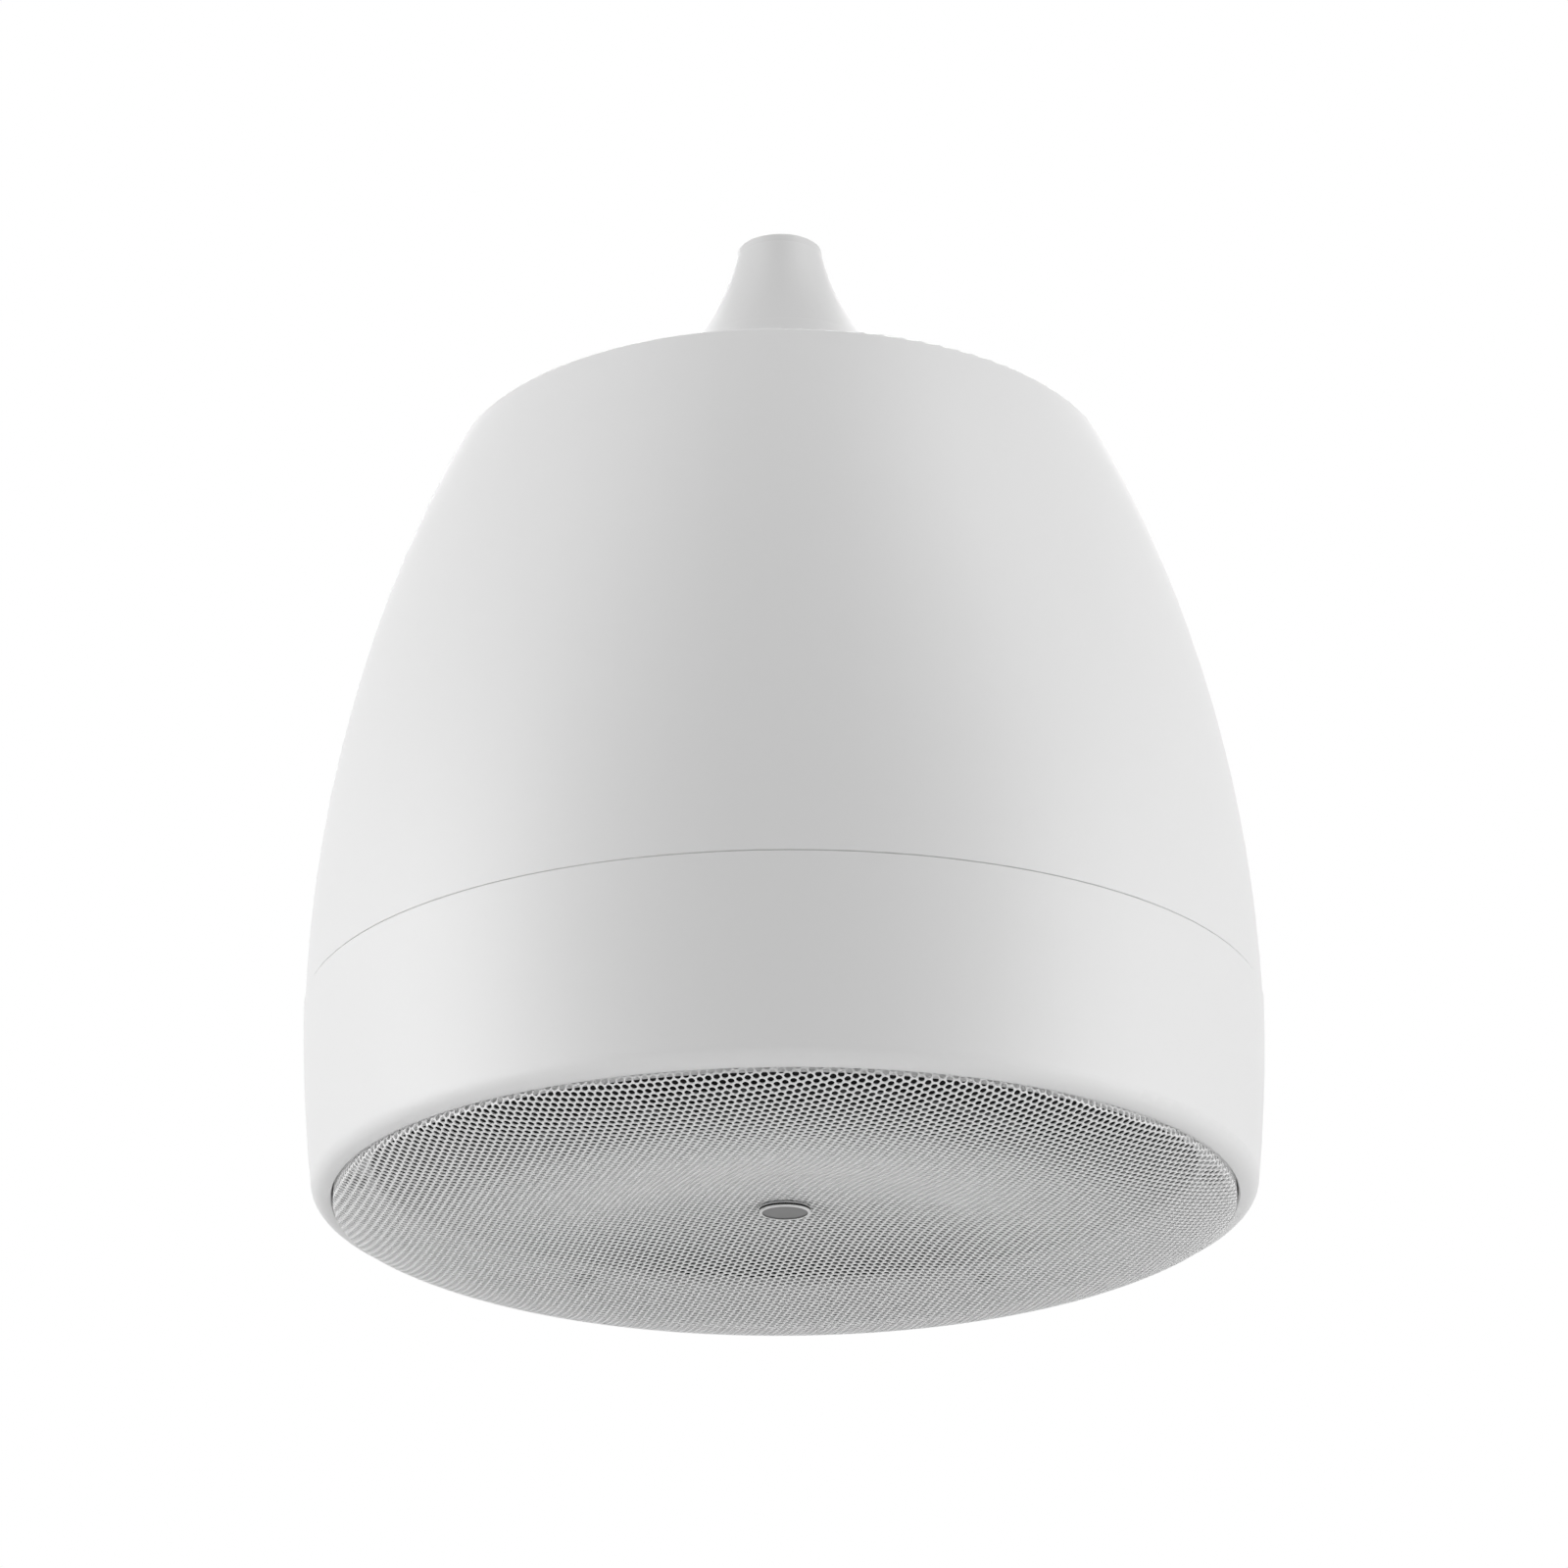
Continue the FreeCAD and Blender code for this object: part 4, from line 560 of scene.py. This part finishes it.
def new_piece(name, mesh, material, body=CABINET, stands_for=()):
    """Put a mesh in the scene, on a body, in a finish, and hide the solids it stands for."""
    mesh.materials.clear()
    mesh.materials.append(material)
    piece = bpy.data.objects.new(name, mesh)
    bpy.context.scene.collection.objects.link(piece)
    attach(piece, body)
    if stands_for:
        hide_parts(*stands_for)
    return piece


def on_circle(radius, turn, height):
    return radius * math.cos(turn), radius * math.sin(turn), height


def revolve(name, profile, steps):
    """Turn a closed outline of (radius, height) pairs about the upright axis into a smooth mesh."""
    work = bmesh.new()
    rings = []
    for step in range(steps):
        turn = 2.0 * math.pi * step / steps
        rings.append([work.verts.new(on_circle(radius, turn, z)) for radius, z in profile])
    for step, ring in enumerate(rings):
        following = rings[(step + 1) % steps]
        for index in range(len(profile)):
            after = (index + 1) % len(profile)
            work.faces.new((ring[index], following[index], following[after], ring[after]))
    bmesh.ops.recalc_face_normals(work, faces=work.faces)
    mesh = bpy.data.meshes.new(name)
    work.to_mesh(mesh)
    work.free()
    mesh.shade_smooth()
    return mesh


def made_by(tree, marks, values):
    """The plain mesh that a geometry tree makes from its inputs."""
    carrier = bpy.data.objects.new("carrier", bpy.data.meshes.new("carrier"))
    bpy.context.scene.collection.objects.link(carrier)
    modifier = carrier.modifiers.new("tree", "NODES")
    modifier.node_group = tree
    for name, value in values.items():
        modifier[marks[name]] = value
    graph = bpy.context.evaluated_depsgraph_get()
    mesh = bpy.data.meshes.new_from_object(carrier.evaluated_get(graph))
    bpy.data.objects.remove(carrier)
    return mesh


def face_outwards(mesh):
    """Point the faces of a closed mesh outwards, and clear edges that have no face."""
    work = bmesh.new()
    work.from_mesh(mesh)
    bare = [edge for edge in work.edges if not edge.link_faces]
    bmesh.ops.delete(work, geom=bare, context="EDGES")
    bmesh.ops.recalc_face_normals(work, faces=work.faces)
    work.to_mesh(mesh)
    work.free()


# Grille: a punched sheet, bent into its dish


def hole_cell(sizes):
    """One six-sided cell of the flat sheet with a round hole, open where its neighbours join it."""
    corners = sizes.hole_corners
    each = corners // 6
    start = math.radians(30.0)
    work = bmesh.new()
    levels = []
    for level in (0.0, sizes.sheet):
        rings = []
        for count, radius in ((6, sizes.pitch / math.sqrt(3.0)), (corners, sizes.hole_radius)):
            turns = [start + 2.0 * math.pi * k / count for k in range(count)]
            rings.append([work.verts.new(on_circle(radius, turn, level)) for turn in turns])
        levels.append(rings)
    for index, (outer, inner) in enumerate(levels):
        for k in range(6):
            edge = [inner[(k * each + j) % corners] for j in range(each, -1, -1)]
            face = [outer[k], outer[(k + 1) % 6], *edge]
            work.faces.new(face if index else face[::-1])
    low, high = levels[0][1], levels[1][1]
    for k in range(corners):
        after = (k + 1) % corners
        work.faces.new((low[k], high[k], high[after], low[after]))
    mesh = bpy.data.meshes.new("hole_cell")
    work.to_mesh(mesh)
    work.free()
    return mesh


def new_inputs(tree, wanted):
    """Named inputs of a geometry tree. Returns each input's value and its socket's identifier."""
    tree.interface.new_socket("Geometry", in_out="OUTPUT", socket_type="NodeSocketGeometry")
    marks = {}
    for name, kind in wanted:
        socket = tree.interface.new_socket(name, in_out="INPUT", socket_type=f"NodeSocket{kind}")
        marks[name] = socket.identifier
    start = tree.nodes.new("NodeGroupInput")
    values = {name: Value(tree, start.outputs[name]) for name, _ in wanted}
    return values, marks


def dish(tree, flat, inputs):
    """The bent radius and height for a flat radius, and the sine and cosine of the slope there."""
    crest, depth = inputs["Crest Radius"], inputs["Crest Depth"]
    turn, skirt = inputs["Turn Radius"], inputs["Skirt Radius"]
    bend, rim = inputs["Bend Radius"], inputs["Rim Radius"]
    lean = (depth / crest).sum("ARCTANGENT") * 2.0
    hollow_arc = turn / lean.sum("SINE")
    crest_arc = (crest - turn) / lean.sum("SINE")
    hollow = (hollow_arc * hollow_arc - flat * flat).most(0.0).root() - hollow_arc
    inward = crest - flat
    shoulder = crest_arc - depth - (crest_arc * crest_arc - inward * inward).most(0.0).root()
    outer = skirt - depth - (skirt * skirt - inward * inward).most(0.0).root()

    bend_across = rim - bend
    roll = ((bend_across - crest) / (skirt - bend)).sum("ARCSINE")
    bend_start = bend_across + bend * roll.sum("SINE")
    bend_up = skirt - depth - (skirt - bend) * roll.sum("COSINE")
    past_bend = flat.above(bend_start)
    swing = (roll + (flat - bend_start) / bend).least(math.pi / 2.0)
    climb = (flat - bend_start - (math.pi / 2.0 - roll) * bend).most(0.0)
    edge = bend_up - bend * swing.sum("COSINE") + climb

    past_turn = flat.above(turn)
    past_crest = flat.above(crest)
    in_hollow = 1.0 - past_turn
    in_shoulder = past_turn - past_crest
    in_skirt = past_crest - past_bend
    height = hollow * in_hollow + shoulder * in_shoulder + outer * in_skirt + edge * past_bend
    inner_slope = flat / hollow_arc * in_hollow + inward / crest_arc * in_shoulder
    gentle = inner_slope + inward / skirt * in_skirt
    slope = gentle - swing.sum("SINE") * past_bend
    level = (1.0 - gentle * gentle).root() * (1.0 - past_bend) + swing.sum("COSINE") * past_bend
    radius = flat * (1.0 - past_bend) + (bend_across + bend * swing.sum("SINE")) * past_bend
    return radius, height, slope, level


def sheet_tree():
    """A tree that punches a sector of the sheet, trims it to a circle and bends it."""
    tree = bpy.data.node_groups.new("perforated_sheet", "GeometryNodeTree")
    wanted = [
        ("Cell", "Object"),
        ("Pitch", "Float"),
        ("Angle", "Float"),
        ("Sheet", "Float"),
        ("Trim Radius", "Float"),
        ("Crest Radius", "Float"),
        ("Crest Depth", "Float"),
        ("Turn Radius", "Float"),
        ("Skirt Radius", "Float"),
        ("Bend Radius", "Float"),
        ("Rim Radius", "Float"),
        ("Sectors", "Float"),
        ("Sector", "Float"),
        ("Finish", "Material"),
    ]
    inputs, marks = new_inputs(tree, wanted)
    pitch, trim = inputs["Pitch"], inputs["Trim Radius"]
    row = pitch * (math.sqrt(3.0) / 2.0)
    half_columns = (trim / pitch).sum("CEIL") + 2.0
    half_rows = (trim / row).sum("CEIL") + 2.0
    columns, rows = half_columns * 2.0, half_rows * 2.0
    grid = add(
        tree,
        "GeometryNodeMeshGrid",
        values={
            "Size X": columns * pitch,
            "Size Y": rows * row,
            "Vertices X": columns + 1.0,
            "Vertices Y": rows + 1.0,
        },
    )
    at = split(tree, add(tree, "GeometryNodeInputPosition"))
    odd = ((at[1] / row).sum("ROUND").sum("ABSOLUTE")).sum("MODULO", 2.0)
    shift = add(tree, "ShaderNodeCombineXYZ", values=(odd * pitch * 0.5,))
    staggered = add(tree, "GeometryNodeSetPosition", values={"Geometry": grid, "Offset": shift})
    at = split(tree, add(tree, "GeometryNodeInputPosition"))
    radius = from_axis(at[0], at[1])
    bearing = at[1].sum("ARCTAN2", at[0]) / (2.0 * math.pi) + 0.5
    wedge = (bearing * inputs["Sectors"]).sum("FLOOR").least(inputs["Sectors"] - 1.0)
    apart = (wedge - inputs["Sector"]).sum("ABSOLUTE").above(0.5)
    beyond = radius.above(trim + pitch * 0.5)
    points = add(
        tree,
        "GeometryNodeDeleteGeometry",
        {"domain": "POINT"},
        {"Geometry": staggered, "Selection": apart.most(beyond)},
    )
    cell = add(tree, "GeometryNodeObjectInfo", values={"Object": inputs["Cell"]}, output="Geometry")
    placed = add(tree, "GeometryNodeInstanceOnPoints", values={"Points": points, "Instance": cell})
    real = add(tree, "GeometryNodeRealizeInstances", values=(placed,))
    joined = add(
        tree, "GeometryNodeMergeByDistance", values={"Geometry": real, "Distance": CELL_GAP}
    )

    at = split(tree, add(tree, "GeometryNodeInputPosition"))
    radius = from_axis(at[0], at[1])
    outside = radius.above(trim)
    on_points = add(
        tree,
        "GeometryNodeFieldOnDomain",
        {"data_type": "BOOLEAN", "domain": "POINT"},
        {"Value": outside},
    )
    trimmed = add(
        tree,
        "GeometryNodeDeleteGeometry",
        {"domain": "FACE"},
        {"Geometry": joined, "Selection": on_points},
    )
    pull = radius.least(trim) / radius.most(NEAR_AXIS)
    rounded = add(tree, "ShaderNodeCombineXYZ", values=(at[0] * pull, at[1] * pull, at[2]))
    circle = add(tree, "GeometryNodeSetPosition", values={"Geometry": trimmed, "Position": rounded})
    neighbours = add(tree, "GeometryNodeInputMeshEdgeNeighbors")
    bare = add(
        tree,
        "GeometryNodeDeleteGeometry",
        {"domain": "EDGE"},
        {"Geometry": circle, "Selection": 1.0 - neighbours.above(0.5)},
    )
    lower = 1.0 - at[2].above(inputs["Sheet"] * 0.5)
    border = (1.0 - neighbours.above(1.5)) * lower
    up = add(tree, "ShaderNodeCombineXYZ", values=(None, None, inputs["Sheet"]))
    walled = add(
        tree,
        "GeometryNodeExtrudeMesh",
        {"mode": "EDGES"},
        {"Mesh": bare, "Selection": border, "Offset": up, "Offset Scale": 1.0},
    )
    closed = add(
        tree, "GeometryNodeMergeByDistance", values={"Geometry": walled, "Distance": WALL_GAP}
    )

    at = split(tree, add(tree, "GeometryNodeInputPosition"))
    radius = from_axis(at[0], at[1])
    bent_radius, height, slope, level = dish(tree, radius, inputs)
    lift = height + at[2] * level
    reach = (bent_radius + at[2] * slope) / radius.most(NEAR_AXIS)
    target = add(tree, "ShaderNodeCombineXYZ", values=(at[0] * reach, at[1] * reach, lift))
    bent = add(tree, "GeometryNodeSetPosition", values={"Geometry": closed, "Position": target})
    spin = add(tree, "ShaderNodeCombineXYZ", values=(None, None, inputs["Angle"]))
    turned = add(tree, "GeometryNodeTransform", values={"Geometry": bent, "Rotation": spin})
    painted = add(
        tree,
        "GeometryNodeSetMaterial",
        values={"Geometry": turned, "Material": inputs["Finish"]},
    )
    end = tree.nodes.new("NodeGroupOutput")
    tree.links.new(painted.socket, end.inputs[0])
    return tree, marks


def bend_marks(sizes):
    """The flat sheet's radius where its edge has been bent upright, and the height there."""
    across = GRILLE_RIM - sizes.bend_radius
    swing = sizes.skirt_radius - sizes.bend_radius
    roll = math.asin((across - sizes.crest_radius) / swing)
    start = across + sizes.bend_radius * math.sin(roll)
    upright = start + (math.pi / 2.0 - roll) * sizes.bend_radius
    height = OPENING + sizes.skirt_radius - sizes.crest_depth - swing * math.cos(roll)
    return upright, height


def edge_profile(sizes, low):
    """The plain upright edge of the grille as a closed outline of radius and height."""
    inner = GRILLE_RIM - sizes.sheet
    lip = sizes.sheet * EDGE_ROUNDING
    return [
        (GRILLE_RIM, low),
        (GRILLE_RIM, GRILLE_EDGE_TOP - lip),
        (GRILLE_RIM - lip, GRILLE_EDGE_TOP),
        (inner + lip, GRILLE_EDGE_TOP),
        (inner, GRILLE_EDGE_TOP - lip),
        (inner, low),
    ]


class SPEAKER_OT_grille(bpy.types.Operator):
    """Punch and bend the grille, in sectors, with its turned edge"""

    bl_idname = "speaker.grille"
    bl_label = "Grille"

    def execute(self, context):
        sizes = context.scene.speaker_grille
        colours = context.scene.speaker_finish
        finish = grained_finish("grille_coat", colours.grille, 0.45, 2600.0, 0.006 * MM)
        cell = bpy.data.objects.new("hole_cell", hole_cell(sizes))
        context.scene.collection.objects.link(cell)
        tree, marks = sheet_tree()
        upright, bend_top = bend_marks(sizes)
        trim = upright + sizes.punched_edge
        for sector in range(SHEET_SECTORS):
            values = {
                "Cell": cell,
                "Pitch": sizes.pitch,
                "Angle": sizes.angle,
                "Sheet": sizes.sheet,
                "Trim Radius": trim,
                "Crest Radius": sizes.crest_radius,
                "Crest Depth": sizes.crest_depth,
                "Turn Radius": sizes.turn_radius,
                "Skirt Radius": sizes.skirt_radius,
                "Bend Radius": sizes.bend_radius,
                "Rim Radius": GRILLE_RIM,
                "Sectors": float(SHEET_SECTORS),
                "Sector": float(sector),
                "Finish": finish,
            }
            mesh = made_by(tree, marks, values)
            mesh.transform(Matrix.Translation((0.0, 0.0, OPENING)))
            face_outwards(mesh)
            name = f"grille_sheet_{sector + 1}"
            new_piece(name, mesh, finish, stands_for=("grille",))
        bpy.data.objects.remove(cell)
        profile = edge_profile(sizes, bend_top + sizes.punched_edge)
        edge = revolve("grille_edge", profile, EDGE_STEPS)
        new_piece("grille_edge", edge, finish, stands_for=("grille",))
        return {"FINISHED"}


class SPEAKER_OT_casing(bpy.types.Operator):
    """Finish the shell, the lower ring and the flared cover"""

    bl_idname = "speaker.casing"
    bl_label = "Casing"

    def execute(self, context):
        colours = context.scene.speaker_finish
        finish = grained_finish("shell_plastic", colours.shell, 0.5)
        for node in ("upper_shell", "lower_ring"):
            wear(node, finish)
        # Painted shade: the cover's colour is darker than the shell's to stand for the shade on its
        # neck
        wear("cable_cover", grained_finish("cover_plastic", colours.cover, 0.5))
        wear("seam_gasket", grained_finish("seam_rubber", colours.seam, 0.6))
        return {"FINISHED"}


class SPEAKER_OT_badge(bpy.types.Operator):
    """Finish the bare badge and its clip"""

    bl_idname = "speaker.badge"
    bl_label = "Badge"

    def execute(self, context):
        colours = context.scene.speaker_finish
        low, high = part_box("badge")
        marks = (high.x - BADGE_RIM, low.z + BADGE_RIM_HEIGHT, BADGE_SHADE_BAND)
        wear("badge", badge_finish("badge_paint", colours.badge, colours.badge_rim, *marks))
        wear("badge_clip", plated_finish("badge_spring", ZINC))
        return {"FINISHED"}


class SPEAKER_OT_driver(bpy.types.Operator):
    """Finish the baffle, the woofer, the tweeter and the port behind the grille"""

    bl_idname = "speaker.driver"
    bl_label = "Driver"

    def execute(self, context):
        dark = tuple(context.scene.speaker_finish.interior)
        moulded = grained_finish("baffle_plastic", dark, 0.8, 900.0, 0.03 * MM, 0.1)
        pressed = grained_finish("frame_coat", dark, 0.5, 2200.0, 0.01 * MM)
        foam = fibre_finish("gasket_foam", dark, 2600.0, 0.06 * MM)
        rubber = grained_finish("surround_rubber", dark, 0.6, 1500.0, 0.02 * MM)
        plated = plated_finish("motor_zinc", BLACK_ZINC)
        copper = wound_finish("voice_wire", COPPER, 0.3 * MM)
        for node in ("baffle", "port_tube", "tweeter_housing", "tweeter_faceplate"):
            wear(node, moulded)
        for node in ("woofer_basket", "woofer_screws"):
            wear(node, pressed)
        for node in ("baffle_gasket", "woofer_gasket", "grille_gasket"):
            wear(node, foam)
        for node in ("surround", "surround_trim"):
            wear(node, rubber)
        for node in ("top_plate", "back_plate", "tweeter_post", "post_nut", "shell_screws"):
            wear(node, plated)
        wear("cone", fibre_finish("cone_pulp", dark, 1400.0, 0.05 * MM, 0.85))
        wear("spider", woven_finish("spider_cloth", (0.46, 0.30, 0.10), 0.9 * MM))
        wear("voice_coil", copper)
        wear("voice_coil_former", wrapped_finish("former_fibre", (0.03, 0.03, 0.03), 0.55))
        ceramic = fibre_finish("magnet_ceramic", (0.045, 0.045, 0.05), 700.0, 0.02 * MM, 0.65)
        wear("magnet", ceramic)
        wear("tweeter_magnet", ceramic)
        wear("tweeter_dome", woven_finish("dome_silk", dark, 0.5 * MM, 0.75))
        return {"FINISHED"}


class SPEAKER_OT_fittings(bpy.types.Operator):
    """Finish the suspension, the terminals, the lining and the electrical parts"""

    bl_idname = "speaker.fittings"
    bl_label = "Fittings"

    def execute(self, context):
        plated = plated_finish("fitting_zinc", ZINC)
        copper = wound_finish("choke_wire", COPPER, 0.8 * MM)
        for node in (
            "suspension_boss",
            "boss_nut",
            "hanger_plate",
            "hanger_screws",
            "safety_eye",
            "eye_nut",
            "terminal_screws",
            "clamp_screws",
            "board_screws",
            "strap_screws",
            "transformer_strap",
        ):
            wear(node, plated)
        for node in ("inductor_coil", "transformer_winding"):
            wear(node, copper)
        wear("terminal_block", grained_finish("terminal_plastic", (0.02, 0.19, 0.07), 0.45))
        wear("crossover_board", woven_finish("board_glass", (0.015, 0.11, 0.035), 0.8 * MM, 0.4))
        wear("board_standoffs", grained_finish("standoff_plastic", (0.02, 0.02, 0.02), 0.5))
        resin = grained_finish("capacitor_resin", (0.36, 0.05, 0.02), 0.25, 300.0, 0.02 * MM)
        wear("capacitors", resin)
        wear("resistor", fibre_finish("resistor_cement", (0.66, 0.60, 0.48), 900.0, 0.03 * MM, 0.8))
        wear("transformer_core", layered_finish("core_steel", (0.16, 0.16, 0.17), 0.5 * MM))
        wear("damping_lining", fibre_finish("lining_felt", (0.26, 0.26, 0.25), 900.0, 0.4 * MM))
        return {"FINISHED"}


# Studio


def add_lamp(scene, name, bearing, elevation, width, height, power):
    """A soft box that faces the speaker. Bearing 0 is the camera's side, and 90 the right."""
    light = bpy.data.lights.new(name, "AREA")
    light.shape = "RECTANGLE"
    light.size = width
    light.size_y = height
    light.energy = power
    lamp = bpy.data.objects.new(name, light)
    turn, rise = math.radians(bearing), math.radians(elevation)
    level = math.cos(rise)
    away = Vector((math.sin(turn) * level, -math.cos(turn) * level, math.sin(rise)))
    centre = Vector((0.0, 0.0, LAMP_AIM))
    lamp.location = centre + away * LAMP_DISTANCE
    lamp.rotation_euler = away.to_track_quat("Z", "Y").to_euler()
    lamp.visible_camera = False
    scene.collection.objects.link(lamp)


def seen_directly(tree):
    """1 for light that reaches the camera, a mirror or a lens straight from here."""
    path = add(tree, "ShaderNodeLightPath", output=None)
    names = ("Is Camera Ray", "Is Glossy Ray", "Is Transmission Ray")
    seen = Value(tree, path.outputs[names[0]])
    for name in names[1:]:
        seen = seen.most(Value(tree, path.outputs[name]))
    return seen


class SPEAKER_OT_studio(bpy.types.Operator):
    """Set up the floor, the light and the camera"""

    bl_idname = "speaker.studio"
    bl_label = "Studio"

    def execute(self, context):
        scene = context.scene
        sizes = scene.speaker_studio
        for lamp in LAMPS:
            add_lamp(scene, *lamp)
        self.make_world(scene)
        self.make_floor(scene, sizes)
        self.make_camera(scene, sizes)
        scene.view_settings.view_transform = "Standard"
        return {"FINISHED"}

    def make_world(self, scene):
        world = bpy.data.worlds.new("studio")
        tree = blank(world)
        glow = add(
            tree,
            "ShaderNodeBackground",
            values={"Color": WHITE, "Strength": seen_directly(tree)},
        )
        end = tree.nodes.new("ShaderNodeOutputWorld")
        tree.links.new(glow.socket, end.inputs["Surface"])
        scene.world = world

    def make_floor(self, scene, sizes):
        work = bmesh.new()
        bmesh.ops.create_circle(work, cap_ends=True, radius=FLOOR_RADIUS, segments=96)
        bmesh.ops.translate(work, verts=work.verts, vec=(0.0, 0.0, -sizes.floor_drop))
        mesh = bpy.data.meshes.new("floor")
        work.to_mesh(mesh)
        work.free()
        material = bpy.data.materials.new("floor_paint")
        tree = blank(material)
        paint = add(tree, "ShaderNodeBsdfDiffuse", values={"Color": FLOOR_GREY})
        white = add(tree, "ShaderNodeEmission", values={"Color": WHITE, "Strength": 1.0})
        x, y, _ = split(tree, place(tree))
        fade = (from_axis(x, y) / FLOOR_FADE).least(1.0)
        glowing = seen_directly(tree) * (fade * (1.0 - FLOOR_GLOW) + FLOOR_GLOW)
        mixed = add(tree, "ShaderNodeMixShader", values=(glowing, paint, white))
        end = tree.nodes.new("ShaderNodeOutputMaterial")
        tree.links.new(mixed.socket, end.inputs["Surface"])
        mesh.materials.append(material)
        floor = bpy.data.objects.new("floor", mesh)
        scene.collection.objects.link(floor)

    def make_camera(self, scene, sizes):
        lens = bpy.data.cameras.new("camera")
        lens.sensor_width = SENSOR
        lens.lens = sizes.camera_lens
        lens.shift_x = CAMERA_SHIFT
        lens.clip_start, lens.clip_end = CAMERA_CLIP
        camera = bpy.data.objects.new("camera", lens)
        upright = Matrix.Rotation(math.radians(90.0) + sizes.camera_pitch, 4, "X")
        roll = Matrix.Rotation(sizes.camera_roll, 4, "Z")
        stand = Matrix.Translation((0.0, -sizes.camera_distance, OPENING - sizes.camera_drop))
        camera.matrix_world = stand @ upright @ roll
        scene.collection.objects.link(camera)
        scene.camera = camera


class SPEAKER_PT_panel(bpy.types.Panel):
    """Lists the steps that build the speaker"""

    bl_label = "Pendant Speaker"
    bl_idname = "SPEAKER_PT_panel"
    bl_space_type = "VIEW_3D"
    bl_region_type = "UI"
    bl_category = "Speaker"

    def draw(self, context):
        for step in STEPS:
            self.layout.operator(step.bl_idname)
        for group in (
            context.scene.speaker_grille,
            context.scene.speaker_finish,
            context.scene.speaker_studio,
        ):
            for name in group.__annotations__:
                self.layout.prop(group, name)


STEPS = (
    SPEAKER_OT_casing,
    SPEAKER_OT_grille,
    SPEAKER_OT_badge,
    SPEAKER_OT_driver,
    SPEAKER_OT_fittings,
    SPEAKER_OT_studio,
)
GROUPS = {
    "speaker_grille": GrilleSizes,
    "speaker_finish": FinishColours,
    "speaker_studio": StudioSizes,
}


def register():
    for group in GROUPS.values():
        bpy.utils.register_class(group)
    for name, group in GROUPS.items():
        setattr(bpy.types.Scene, name, PointerProperty(type=group))
    for step in (*STEPS, SPEAKER_PT_panel):
        bpy.utils.register_class(step)


def unregister():
    for step in reversed((*STEPS, SPEAKER_PT_panel)):
        bpy.utils.unregister_class(step)
    for name, group in GROUPS.items():
        delattr(bpy.types.Scene, name)
        bpy.utils.unregister_class(group)


def main():
    register()
    for unwanted in list(bpy.data.objects):
        if unwanted.name in ("Cube", "Light", "Camera"):
            bpy.data.objects.remove(unwanted)
    bpy.ops.speaker.casing()
    bpy.ops.speaker.grille()
    bpy.ops.speaker.badge()
    bpy.ops.speaker.driver()
    bpy.ops.speaker.fittings()
    bpy.ops.speaker.studio()


if __name__ == "__main__":
    main()
